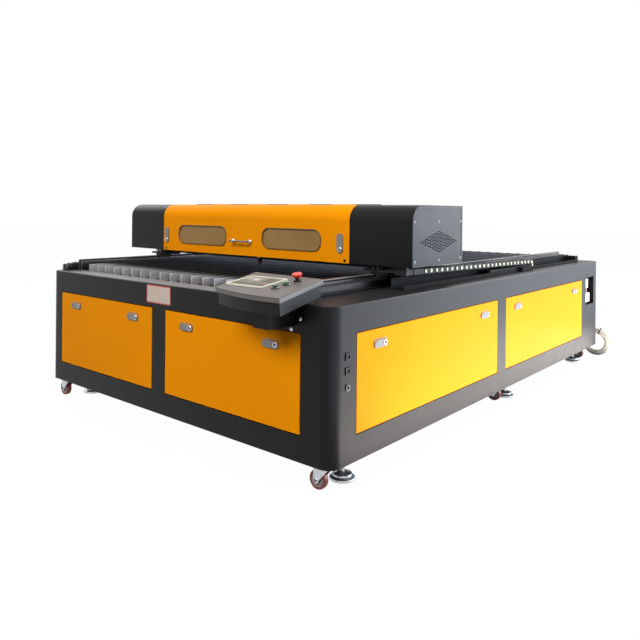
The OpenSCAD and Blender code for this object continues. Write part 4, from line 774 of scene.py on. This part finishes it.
head_lo, head_hi = mm("laser_head")
carriage_lo = mm("head_carriage")[0]
BARREL_R = 16.5
nozzle_x = head_lo.x + BARREL_R
p = Piece("nozzle_tip")
m = shift(nozzle_x, (head_lo.y + head_hi.y) / 2, head_lo.z)
p.lathe([(2.2, 0.2), (4.4, 0.2), (5.2, 1.2), (9.4, 11), (9.4, 12.5), (8.6, 13.2)], "brass", m, 24)
p.lathe([(16.4, 34), (17.3, 34.6), (17.3, 45.6), (16.4, 46.4)], "steel", m, 48)
p.lathe([(14.2, 60), (14.9, 60.5), (14.9, 63), (14.2, 63.5)], "steel", m, 32)
p.done("laser_head", "steel")
p = Piece("head_screws")
for dx in (-34, 34):
    for dz in (16, 60, 120, 160):
        m = front_at(nozzle_x + dx, carriage_lo.y + 36.5, carriage_lo.z + dz)
        p.screw(m, 4.0, 2.4, "steel")
for dx, dz in ((-17, 16), (17, 16), (17, -17)):
    p.lathe([(2.2, 0), (2.2, 2.6), (5, 3), (5.4, 4), (5.4, 8), (4.8, 9), (0, 9)], "brass",
            front_at(nozzle_x + dx, carriage_lo.y, tube_mid.z + dz), 18)
p.done("head_carriage", "steel")

# ---------------- bed and rails

beams_lo, beams_hi = mm("y_beams")
RAIL_BOLTS, BOLT_STEP = 28, 100
p = Piece("rail_plugs")
for rail_x in RAILS:
    for k in range(RAIL_BOLTS):
        m = up_at(rail_x, rail_lo.y + 45 + k * BOLT_STEP, rail_hi.z)
        p.lathe([(0, 0.25), (4.3, 0.25), (4.7, 0.1), (4.9, -0.4)], "blackalu", m, 14)
p.done("cabinet", "black_aluminium")

p = Piece("beam_ends")
for rail_x in RAILS:
    for y, s in ((beams_lo.y, -1), (beams_hi.y, 1)):
        m = basis((rail_x, y, (beams_lo.z + beams_hi.z) / 2), (1, 0, 0), (0, s, 0))
        p.prism(rounded(78, 38, 3, 3), 0, 2.2, "blackplastic", m, 0.6, 2)
        for dx in (-20, 20):
            p.screw(m @ shift(dx, 0, 2.2), 4.2, 2.0, "zinc")
p.done("cabinet", "black_plastic")

# a strip of paler grey between the front face and the slats: a painted sheen along the deck's front edge
bed_lo, bed_hi = mm("dust_tray")
p = Piece("front_sheen_strip")
p.box((-BODY_W / 2 + 30, 12, DECK), (bed_hi.x, bed_lo.y - 3, DECK + 1.2), "ledge", 0.4)
p.done("cabinet", "deck_paint")

# the cabinet's folded top edge, rounded all the way round
EDGE_R, EDGE_PROUD, CORNER_R = 4.0, 0.7, 55
inset = EDGE_R - EDGE_PROUD
loop = rounded(BODY_W - 2 * inset, BODY_L - 2 * inset, CORNER_R - inset, 10)
loop = [(x, y + BODY_L / 2, DECK - inset) for x, y in loop]
edge = sweep("deck_edge", [*loop, loop[0], loop[1]], EDGE_R, "grey", 16, caps=False)
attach(edge, "cabinet")

# the left belt's tensioner in front of its rail: a base plate, a cheek, a sliding block, a second cheek
p = Piece("belt_tensioner")
beam_x = beams_lo.x
TENS_X0, TENS_X1, TENS_Y = beam_x + 32, beam_x + 94, 40
for inset, y0, y1, z0, z1, key, soft in ((-2, 38, 114, 1, 6, "blackplastic", 0.8),
                                         (0, TENS_Y, 51, 5, 36, "blackalu", 1.2),
                                         (6, 60, 84, 7, 40, "blackalu", 1.2),
                                         (0, 92, 103, 5, 42, "blackalu", 1.2)):
    p.box((TENS_X0 + inset, y0, DECK + z0), (TENS_X1 - inset, y1, DECK + z1), key, soft)
for x in (TENS_X0 + 13, TENS_X1 - 13):
    for y in (TENS_Y, 60):
        m = front_at(x, y, DECK + 24)
        if y == TENS_Y:
            p.lathe([(0, 6), (3.6, 6), (4, 5.6), (4, -60), (0, -60)], "steel", m, 16)
        p.lathe([(4, 5), (6.4, 5), (7, 4.4), (7, 0)], "steel", m, 6)
p.done("cabinet", "black_aluminium")

# the upright stop beside it, on its bracket, and the pin
p = Piece("front_left_bracket")
p.box((beam_x + 4, 96, DECK), (beam_x + 58, 112, DECK + 3), "blackplastic", 0.6)
p.box((beam_x + 84, 104, DECK), (beam_x + 96, 116, DECK + 58), "ledge", 1.2)
pin = shift(beam_x + 112, 108, DECK)
p.lathe([(3, 0), (3, 50), (2.4, 51.5), (0, 52)], "steel", pin, 16)
p.lathe([(8, 0), (8, 3), (7, 4), (3, 4)], "steel", pin, 20)
p.done("cabinet", "dark_frame")

# the motor's flange screws
motor_lo, motor_hi = mm("y_motor")
p = Piece("motor_details")
m = side_at(-1, motor_lo.x, (motor_lo.y + motor_hi.y) / 2, motor_hi.z - 31)
for x, y in corners(20, 18):
    p.screw(m @ shift(x, y, 0), 3.2, 1.6, "steel")
p.done("cabinet", "steel")

# ---------------- console

CONSOLE_X, CONSOLE_RISE, CONSOLE_TILT = BODY_W / 2 - 190, 72, 7
TOP = shift(CONSOLE_X, 0, DECK + CONSOLE_RISE) @ turned(CONSOLE_TILT, "X")


def repaint(node, key, chosen):
    """Gives a second material to the chosen faces of a CAD piece."""
    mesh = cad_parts[node].data
    mesh.materials.append(M[key])
    for face in mesh.polygons:
        if chosen(face):
            face.material_index = 1


# The box is painted like the cabinet, and its upward faces keep the paler grey: a painted sheen where the
# top plate catches the light
plate_up = (TOP.to_3x3() @ Vector((0, 0, 1))).normalized()
repaint("console_box", "grey", lambda face: face.normal.dot(plate_up) < 0.9)

# The plate's outline: slanted sides, a straight back and a curved nose, as in the part's source
CONSOLE_CORNERS = ((-212, -300), (146, -300), (67, 97), (-305, 108))
CONSOLE_INWARDS = ((1, 0), (-1, 0), (-1, -1), (1, -1))
NOSE_MID, NOSE_R, NOSE_REACH = 50, 1036, 207
PLATE_T, LIP, LIP_SHADOW_H = 17, 8, 5


def console_outline(inset):
    """The top plate's outline, or that of the box below it, which stands back by the lip."""
    radius, centre = NOSE_R - inset, Vector((NOSE_MID, NOSE_R - NOSE_REACH))
    points = [Vector((x + inset * dx, y + inset * dy))
              for (x, y), (dx, dy) in zip(CONSOLE_CORNERS, CONSOLE_INWARDS)]
    angles = []
    for front, rear in ((points[0], points[3]), (points[1], points[2])):
        # where the slanted side, from its outer end, meets the nose's circle
        way, gap = rear - front, front - centre
        half, rest = way.dot(gap), gap.dot(gap) - radius ** 2
        meets = front + way * ((-half - math.sqrt(half ** 2 - way.dot(way) * rest)) / way.dot(way))
        angles.append(math.atan2(meets.x - centre.x, centre.y - meets.y))
    steps = 24
    turns = [angles[0] + (angles[1] - angles[0]) * k / steps for k in range(steps + 1)]
    nose = [(centre.x + radius * math.sin(a), centre.y - radius * math.cos(a)) for a in turns]
    return [*nose, tuple(points[2]), tuple(points[3])]


# the plate's rounded rim in the paler grey, a painted sheen on its edge, which leaves the buttons' holes
# free, and under its lip a black band, a painted shadow
RIM_R, RIM_PROUD, RIM_W, RIM_STEPS = 4.0, 0.5, 20, 4
rim = [(-RIM_PROUD, -PLATE_T)]
for k in range(RIM_STEPS + 1):
    a = math.pi / 2 * k / RIM_STEPS
    rim.append((RIM_R - RIM_PROUD - RIM_R * math.cos(a), RIM_PROUD - RIM_R + RIM_R * math.sin(a)))
rim += [(RIM_W, RIM_PROUD), (RIM_W, -PLATE_T)]
p = Piece("console_edge")
rings = p.rings((console_outline(inset), z) for inset, z in rim)
p.keep(bridge(p.bm, rings), "console", TOP)
p.ring(console_outline(LIP - 0.7), console_outline(LIP + 1), -PLATE_T - LIP_SHADOW_H, -PLATE_T + 0.3, "black", TOP)
p.done("cabinet", "grey_paint")

ESTOP_Y, START_Y, PULSE_Y = 28, -32, -92
NECK_R, NECK_TOP = 11, 20


# the neck under the red head is painted black plastic, which also stands in for the shade under the head
def on_neck(face):
    place = TOP.inverted() @ ((face.center - ORIGIN) * 1000)
    return math.hypot(place.x, place.y - ESTOP_Y) < NECK_R and place.z < NECK_TOP


repaint("estop_button", "blackplastic", on_neck)

KEYPAD = TOP @ shift(-150, -39, 4) @ turned(1, "Z")
SCREEN = KEYPAD @ shift(-36.5, 28, 0)
FOIL_W, FOIL_H, KEYPAD_RIM = 179, 134, 6.5
KEY_STEP, ROW_STEP = 19, 20
p = Piece("keypad_face")
p.prism(rounded(FOIL_W, FOIL_H, 2, 2), -1.1, -0.5, "panel", KEYPAD, 0.2)
p.ring(rounded(FOIL_W + 2 * KEYPAD_RIM, FOIL_H + 2 * KEYPAD_RIM, 4, 4), rounded(FOIL_W, FOIL_H, 2, 4),
       -0.6, 0.9, "cream", KEYPAD)
p.prism(rounded(96, 64, 3, 4), -0.5, 0.7, "cream", SCREEN, 0.4, 2)
p.prism(rounded(86, 54, 1.5, 3), 0.6, 1.0, "screen", SCREEN, 0.2)
for k in range(3):
    bar = KEYPAD @ shift(-40 - 5 * k, 44 - 12 * k, 0)
    p.prism(rounded(74 - 14 * k, 5, 1, 2), 0.95, 1.1, "screen_lit", bar)
p.prism(rounded(26, 22, 1, 2), 0.95, 1.1, "screen_lit", KEYPAD @ shift(-14, 16, 0))


def add_key(x, y, colour):
    p.prism(rounded(14.4, 10.4, 2.2, 3), -0.4, 1.7, "key_" + colour, KEYPAD @ shift(x, y, 0), 0.7, 2)


LOWER_KEYS = ["green"] * 9
UPPER_KEYS = ["green"] * 4 + ["grey"] + ["green"] * 2 + ["red"] * 2
for row, colours in enumerate((LOWER_KEYS, UPPER_KEYS)):
    for k, colour in enumerate(colours):
        add_key(-75 + k * KEY_STEP, -55.5 + row * ROW_STEP, colour)
for row in range(3):
    for k in range(3):
        add_key(31 + k * ROW_STEP, 8.5 + row * ROW_STEP, "red" if row == k == 1 else "green")
for x, y in corners(92.6, 70):
    p.screw(KEYPAD @ shift(x, y, 0.6), 1.8, 0.7, "steel")
p.done("cabinet", "keypad_cream")

# the buttons' bezels, and the foil ring around the emergency stop
p = Piece("console_trim")
for y in (ESTOP_Y, START_Y, PULSE_Y):
    m = TOP @ shift(0, y, 0)
    p.lathe([(15.1, -0.3), (16.4, 0), (16.6, 1.2), (15.6, 5.8), (14.6, 6.7), (11.8, 6.9), (11.2, 6.2)],
            "blackplastic" if y == ESTOP_Y else "steel", m, 32)
    if y == ESTOP_Y:
        p.lathe([(15.0, 0.2), (24, 0.2), (24.6, 0.8), (24.0, 1.4), (16, 1.5)], "panel", m, 40)
p.done("cabinet", "chrome")

p = Piece("estop_arrows")
for k in range(3):
    m = TOP @ shift(0, ESTOP_Y, 12) @ turned(90 + 120 * k, "Z")
    p.prism([(7, -1.1), (12.2, -2.0), (12.2, 2.0), (7, 1.1)], 22.2, 23.3, "red", m, 0.25)
p.done("estop_button", "red_plastic")

for name, y, key in (("start", START_Y, "green"), ("pulse", PULSE_Y, "dark")):
    p = Piece(name + "_cap")
    p.lathe([(11.1, -3), (11.1, -0.6), (10.4, 0.25), (9.2, 0.3), (7.6, -0.1), (0, -0.15)], key,
            TOP @ shift(0, y, 12.5), 32)
    p.done(name + "_button", key + "_plastic")

p = Piece("console_arm_screws")
for x, z in ((CONSOLE_X + 40, 633), (CONSOLE_X - 3, 590)):
    p.lathe([(0, 1.6), (2, 1.6), (2.4, 3.2), (5.4, 3.1), (7.4, 1.9), (8, 0.3), (8, 0)], "zinc",
            front_at(x, 0, z), 20)
p.done("cabinet", "galvanised")

# ---------------- front label, bare

LABEL_X, LABEL_Z, LABEL_W, LABEL_H = -22, 643, 178, 82
p = Piece("front_label")
m = front_at(LABEL_X, 0, LABEL_Z)
p.prism(rounded(LABEL_W, LABEL_H, 5, 5), -0.2, 0.9, "label", m, 0.3)
outer, inner = rounded(LABEL_W + 0.6, LABEL_H + 0.6, 5.2, 5), rounded(LABEL_W - 10, LABEL_H - 10, 2, 5)
p.ring(outer, inner, 0.6, 1.3, "label_red", m)
for x, y in corners(80, 32):
    p.lathe([(0, 1.8), (1.6, 1.7), (2.5, 1.0), (2.6, 0.4)], "zinc", m @ shift(x, y, 0.4), 12)
p.done("cabinet", "white_plastic")

# ---------------- doors and latches

LATCH_W, COVER_LATCH_W = 88, 37
PIN_ROOM = 6                            # left free at either end of a door's box, where its hinge pins are
LOCK_RADII = (10.2, 10.5, 10.3, 9.4, 8.2, 7.6)


def add_lock(piece, m, heights):
    """A lock's bright ring, with the given heights at its radii, and a black disc with a steel key slot,
    whose black is painted shade in the lock's hollow.
    """
    piece.lathe(list(zip(LOCK_RADII, heights)), "chrome", m, 28)
    # painted shade: a black disc where the lock's recess is dark
    piece.lathe([(0, 0.35), (5.2, 0.35), (5.8, 0.1), (6.0, -0.3)], "blackplastic", m, 24)
    piece.box((-0.8, -3.6, 0.1), (0.8, 3.6, 0.55), "steel", 0.15, m)


def on_sheet(on_side, along, z):
    """A frame of reference on the right or front sheet, at a distance along it and a height."""
    if on_side:
        return side_at(1, BODY_W / 2, along, z)
    return front_at(along, 0, z)


for place, on_side in ON_SIDE.items():
    lo, hi = mm("latches_" + place)
    low, high = (lo.y, hi.y) if on_side else (lo.x, hi.x)
    rims, ears = Piece("latch_rims_" + place), Piece("latch_ears_" + place)
    for centre in (low + LATCH_W / 2, high - LATCH_W / 2):
        m = on_sheet(on_side, centre, (lo.z + hi.z) / 2 + 1.25)
        # a raised, rounded rim below the knuckle, the lock, and the screw at the other end
        outer = [(x, y) for x, y in rounded(LATCH_W - 0.6, 29.4, 14.6, 8) if y < 6.5]
        inner = [(x * 0.955, y * 0.86) for x, y in outer]
        rims.prism(outer + inner[::-1], 5.1, 6.1, "satin", m, 0.35)
        add_lock(rims, m @ shift(27, 0, 7.3), (-2.2, -1.6, -0.2, 0.5, 0.3, -0.1))
        rims.lathe([(3.2, 5.2), (3.2, 5.5), (0, 5.5)], "steel", m @ shift(-30, -1, 0), 16)
        ears.box((-43, 15.6, -0.2), (43, 18.4, 1.4), "satin", 0.5, m)
    rims.done("latches_" + place, "chrome")
    ears.done("door_" + place, "chrome")

# the same locks at the lower ends of the cover's latches
lo, hi = mm("cover_latches")
p = Piece("cover_latch_locks")
for x in (lo.x + COVER_LATCH_W / 2, hi.x - COVER_LATCH_W / 2):
    add_lock(p, front_at(x, lo.y, lo.z + COVER_LATCH_W / 2), (-1.4, -0.9, 0.3, 0.9, 0.7, 0.1))
p.done("cover_latches", "chrome")

# a folded stiffener inside each door, with four rivets
for place, on_side in ON_SIDE.items():
    lo, hi = mm("door_" + place)
    low, high = (lo.y, hi.y) if on_side else (lo.x, hi.x)
    m = on_sheet(on_side, low + PIN_ROOM, lo.z)
    width, height = high - low - 2 * PIN_ROOM, hi.z - lo.z
    p = Piece("door_stiffener_" + place)
    p.box((30, height / 2 - 18, -13), (width - 30, height / 2 + 18, -2.2), "orange", 1.2, m)
    for x in (60, width - 60):
        for y in (-9, 9):
            rivet = m @ shift(x, height / 2 + y, 0)
            p.lathe([(0, -13.6), (3.6, -13.6), (4.2, -13.2), (4.2, -12.8)], "zinc", rivet, 12)
    p.done("door_" + place, "orange_paint")

# ---------------- power recess, ports and barb

SOCKET_RISE = 27                        # how far the socket bodies stand out from their plates
SOCKETS = ((10, 112, 66), (30, 14, 80))     # along the recess, up in it, and the width
RECESS_FROM_BACK, RECESS_Z = 266, 404
recess = on_sheet(True, BODY_L - RECESS_FROM_BACK, RECESS_Z)
p = Piece("socket_faces")
for x, z, w in SOCKETS:
    m = recess @ shift(x + w / 2, z + 31, -39 + SOCKET_RISE)
    p.prism(rounded(w - 1, 61, 4, 4), -SOCKET_RISE - 0.5, 0, "white", m, 0.4)
    p.ring(rounded(w - 0.6, 61.4, 4, 4), rounded(w - 12, 50, 3, 4), 0.0, 1.8, "white", m)
    for dx in (5 - w / 2, w / 2 - 5):
        p.screw(m @ shift(dx, 0, 1.2), 2.4, 1.2, "zinc")
    p.lathe([(3.2, -0.4), (3.8, 0.4), (4.4, 0.6), (4.9, 0.2)], "white", m @ shift(0, -17, 0), 20)
p.done("cabinet", "white_plastic")

p = Piece("rocker_face")
for y in (10.6, -10.6):
    p.prism(rounded(25.6, 18.4, 2.5, 4), 2.8, 3.9, "red", recess @ shift(100, 98 + y, -36), 0.6, 2)
p.done("power_rocker", "red_plastic")

# The two ports and the round one at the front of the right side are of one node with the power recess,
# but painted like the cabinet
PORT_Y, PORT_HEIGHTS, ROUND_PORT_Z = 93, (502, 449), 389
repaint("service_sockets", "grey", lambda face: face.center.y < FRONT_Y + 0.3)
p = Piece("port_details")
for z in PORT_HEIGHTS:
    m = on_sheet(True, PORT_Y, z)
    p.ring(rounded(27.4, 27.4, 3, 4), rounded(17, 15, 1.5, 4), 2.6, 3.9, "blackplastic", m)
    for k in range(6):
        p.box((k * 2 - 5.5, -5.2, 0.4), (k * 2 - 4.5, 2, 1.0), "brass", 0.15, m)
    for x in (-11.2, 11.2):
        p.screw(m @ shift(x, -11, 3.0), 1.7, 0.9, "zinc")
m = on_sheet(True, PORT_Y, ROUND_PORT_Z)
p.lathe([(6.9, 1), (7.2, 3.2), (8.4, 4.2), (11.4, 4.0), (12.2, 3)], "steel", m, 30)
p.done("cabinet", "black_plastic")

p = Piece("hose_fitting")
m = back_at(hose_x, BODY_L, BARB_Z)
p.lathe([(11.2, -0.2), (12.4, 0.6), (12.4, 5.6), (11, 6.4), (7.2, 6.6)], "brass", m, 6)
p.lathe([(7.05, 16), (8.3, 16), (8.6, 16.6), (8.6, 23.4), (8.3, 24), (7.05, 24)], "steel", m, 32)
p.box((7.6, -3, 16.4), (12.6, 3, 23.6), "steel", 0.6, m)
p.done("cabinet", "steel")

# exhaust collars: a rolled bead, a foot ring and a wire guard
COLLAR_X, COLLAR_Z = 450, 380
p = Piece("collar_beads")
for s in (-1, 1):
    m = back_at(s * COLLAR_X, BODY_L, COLLAR_Z)
    p.lathe([(75, 44), (76.4, 45), (77.4, 48), (76.4, 51), (75, 52)], "grey", m, 64)
    p.lathe([(75.2, 0.2), (84, 0.2), (84.6, 1.0), (84, 1.8), (75.8, 2.0)], "grey", m, 64)
    for r in (18, 36, 54, 71):
        p.lathe([(r - 1.2, 14), (r, 12.8), (r + 1.2, 14), (r, 15.2), (r - 1.2, 14)], "steel", m, 40)
    for degrees in (0, 45, 90, 135):
        p.box((-72.6, -1.2, 15.0), (72.6, 1.2, 17.2), "steel", 0.5, m @ turned(degrees, "Z"))
p.done("cabinet", "grey_paint")

# ---------------- units inside the cabinet

p = Piece("unit_details")
for node, fins in (("laser_power_supply", 9), ("controller_unit", 6)):
    lo, hi = mm(node)
    for k in range(fins):
        y = lo.y + 40 + k * (hi.y - lo.y - 80) / (fins - 1)
        p.box((lo.x + 30, y - 1.5, hi.z - 0.6), (hi.x - 30, y + 1.5, hi.z + 0.8), "black", 0.5)
    screw_z = hi.z if node == "laser_power_supply" else lo.z + 60
    for x in (lo.x + 10, hi.x - 10):
        for y in (lo.y + 14, hi.y - 14):
            p.screw(shift(x, y, screw_z), 3, 1.2, "zinc")
    p.box((lo.x + 24, lo.y - 6, lo.z + 8), (hi.x - 24, lo.y + 5, lo.z + 22), "blackplastic", 0.8)
    for k in range(8):
        m = front_at(lo.x + 34 + k * 16, lo.y - 6, lo.z + 15)
        p.lathe([(0, 1), (2.6, 1), (3, 0.4), (3, 0)], "brass", m, 12)
p.done("cabinet", "unit_silver")

# ---------------- casters and feet

CASTER_ROWS = (62, BODY_L / 2 + 43, BODY_L - 100)
FOOT_ROWS = (195, BODY_L / 2 + 166, BODY_L - 220)
CASTER_INSET, FOOT_INSET, CASTER_PLATE_Z = 75, 100, 101

for i in CASTERS:
    lo, hi = mm(f"caster_wheel_{i}")
    fork_lo, fork_hi = mm(f"caster_fork_{i}")
    half = (fork_hi.y - fork_lo.y) / 2
    core, hardware = Piece(f"wheel_core_{i}"), Piece(f"caster_hardware_{i}")
    for s in (-1, 1):
        m = basis((lo + hi) / 2, (1, 0, 0), (0, s, 0))
        core.lathe([(4.3, 13.9), (10.4, 14.1), (11.2, 13.4), (13.8, 13.9), (14.4, 13.2), (15.2, 10.1),
                    (20, 10.1), (20.4, 10.7), (21.2, 10.7), (21.6, 10.1), (27.4, 10.05), (28, 10.6)],
                   "hub", m, 36)
        # a hexagon head behind, a round rivet in front
        hardware.lathe([(0, half + 2.6), (3, half + 2.4), (3.4, half + 0.6), (6.2, half + 0.4),
                        (6.9, half - 0.4), (7.05, half - 4)], "steel", m, 6 if s > 0 else 24)
    core.done(f"caster_wheel_{i}", "white_plastic")
    hardware.done(f"caster_fork_{i}", "galvanised")

p = Piece("caster_plate_bolts")
for s in (-1, 1):
    for y in CASTER_ROWS:
        for dx, dy in corners(27, 27):
            m = basis((s * (BODY_W / 2 - CASTER_INSET) + dx, y + dy, CASTER_PLATE_Z), (1, 0, 0), (0, 0, -1))
            p.lathe([(0, 3.4), (3.6, 3.4), (4.6, 2.6), (4.6, 0)], "zinc", m, 6)
p.done("cabinet", "galvanised")

p = Piece("foot_details")
for s in (-1, 1):
    for y in FOOT_ROWS:
        m = shift(s * (BODY_W / 2 - FOOT_INSET), y, 0)
        p.lathe([(50.0, 1.6), (50.6, 2.4), (50.6, 7.2), (50, 8.2)], "zinc", m, 56)
        p.lathe([(38.0, 16.4), (38.6, 17.2), (38.6, 21.6), (38, 22.6)], "zinc", m, 48)
        for z in (40 + k * 3.6 for k in range(14)):
            p.lathe([(8.0, z), (8.5, z + 0.9), (8.5, z + 1.5), (8.0, z + 2.4)], "steel", m, 20)
p.done("cabinet", "galvanised")

# ---------------- fine edges on the CAD pieces

# width of the rounding in millimetres, and the nodes that get it
EDGE_WIDTHS = {
    0.4: ("x_rail", "knife_slats", "service_sockets"),
    0.5: ("keypad_panel", "power_rocker"),
    0.6: ("end_cover_right", "chain_tray", "y_beams", "cover_latches", "mirror_mounts",
          *("latches_" + place for place in ON_SIDE)),
    0.8: ("cabinet_shell", "end_cover_left", "rear_cover", "lifting_cover", "cover_windows",
          "head_carriage"),
    1.0: ("y_motor", *("door_" + place for place in ON_SIDE)),
    1.2: ("console_box", "controller_unit"),
    1.5: ("console_arm", "laser_power_supply"),
}
for width, nodes in EDGE_WIDTHS.items():
    for node in nodes:
        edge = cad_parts[node].modifiers.new("edge", "BEVEL")
        edge.width = width / 1000
        edge.segments = 2
        edge.limit_method = "ANGLE"
        edge.angle_limit = math.radians(40)
        edge.harden_normals = False

# ---------------- light, floor and world


def lamp(name, place, target, size, watts, colour=(1, 1, 1)):
    data = bpy.data.lights.new(name, "AREA")
    data.shape = "RECTANGLE"
    data.size, data.size_y = size
    data.energy = watts
    data.color = colour
    obj = bpy.data.objects.new(name, data)
    obj.location = place
    direction = Vector(target) - Vector(place)
    obj.rotation_euler = direction.to_track_quat("-Z", "Y").to_euler()
    bpy.context.scene.collection.objects.link(obj)
    obj.visible_camera = False


# The right side faces a bright wall and a bright floor, and the front faces a darker part of the studio
lamp("bounce_far", (3.9, 1.6, 0.02), (3.9, 1.6, 3), (4.2, 9), 285, (0.74, 0.86, 1))
lamp("bounce_near", (1.5, 0.6, 0.02), (1.5, 0.6, 3), (0.7, 3.6), 44, (1, 0.92, 0.88))
lamp("window_back_right", (5.6, 4.6, 1.9), (1.6, 1.2, 1.3), (7.5, 3.2), 660, (0.8, 0.89, 1))
lamp("window_back_left", (-7.5, 5.5, 1.1), (0, 0.5, 0.7), (5, 2.2), 15)
lamp("key_right", (5.6, -0.6, 4.6), (0.9, 0.2, 0.4), (3, 2.4), 100)
lamp("fill_front", (1.4, -7.2, 5.4), (-0.2, -0.6, 0.3), (5, 3), 600)
lamp("top", (1.2, 0.4, 6), (1.2, 0.4, 0), (4.4, 5), 150)
lamp("fill_back", (-1.5, 9, 6.5), (-0.3, 1.4, 0.3), (6, 4), 300)
lamp("fill_left", (-7.5, 0.5, 5), (-1, 0.5, 0.3), (5, 3), 120)

AMBIENT = 0.18      # how strongly the world lights the machine


def shows_pale(tree, path):
    """1 for the rays that show the pale surroundings: camera, glossy and transmission rays."""
    camera_or_glossy = maths(tree, "MAXIMUM", path.outputs["Is Camera Ray"], path.outputs["Is Glossy Ray"])
    return maths(tree, "MAXIMUM", camera_or_glossy, path.outputs["Is Transmission Ray"])


world = bpy.data.worlds.new("World")
bpy.context.scene.world = world
world.use_nodes = True
tree = world.node_tree
tree.nodes.clear()
pale = shows_pale(tree, new_node(tree, "ShaderNodeLightPath"))
strength = new_node(tree, "ShaderNodeMapRange", To_Min=AMBIENT, To_Max=1, Value=pale)
sky = new_node(tree, "ShaderNodeBackground", Color=(1, 1, 1, 1), Strength=strength.outputs["Result"])
new_node(tree, "ShaderNodeOutputWorld", Surface=sky.outputs[0])

FLOOR_HALF, FLOOR_Z = 30, -0.001        # metres: the floor lies just below the feet
FLOOR_SEEN, FLOOR_LIT = 0.8, 0.07       # its grey for camera rays, and for the light that it returns
GLOW = 0.98                             # how much of what such rays see is the floor's own glow
floor_mesh = bpy.data.meshes.new("floor")
floor_points = [(x * FLOOR_HALF, y * FLOOR_HALF, FLOOR_Z) for x, y in ((-1, -1), (1, -1), (1, 1), (-1, 1))]
floor_mesh.from_pydata(floor_points, [], [(0, 1, 2, 3)])
floor = bpy.data.objects.new("floor", floor_mesh)
bpy.context.scene.collection.objects.link(floor)
n = Nodes("studio_floor")
n.tree.nodes.remove(n.shader)
path = n.node("ShaderNodeLightPath")
grey = n.span(path.outputs["Is Camera Ray"], FLOOR_LIT, FLOOR_SEEN)
glow = maths(n.tree, "MULTIPLY", shows_pale(n.tree, path), GLOW)
mix = n.node("ShaderNodeMixShader", Fac=glow)
n.tree.links.new(n.node("ShaderNodeBsdfDiffuse", Color=grey).outputs[0], mix.inputs[1])
n.tree.links.new(n.node("ShaderNodeEmission").outputs[0], mix.inputs[2])
n.tree.links.new(mix.outputs[0], n.out.inputs["Surface"])
floor_mesh.materials.append(n.mat)
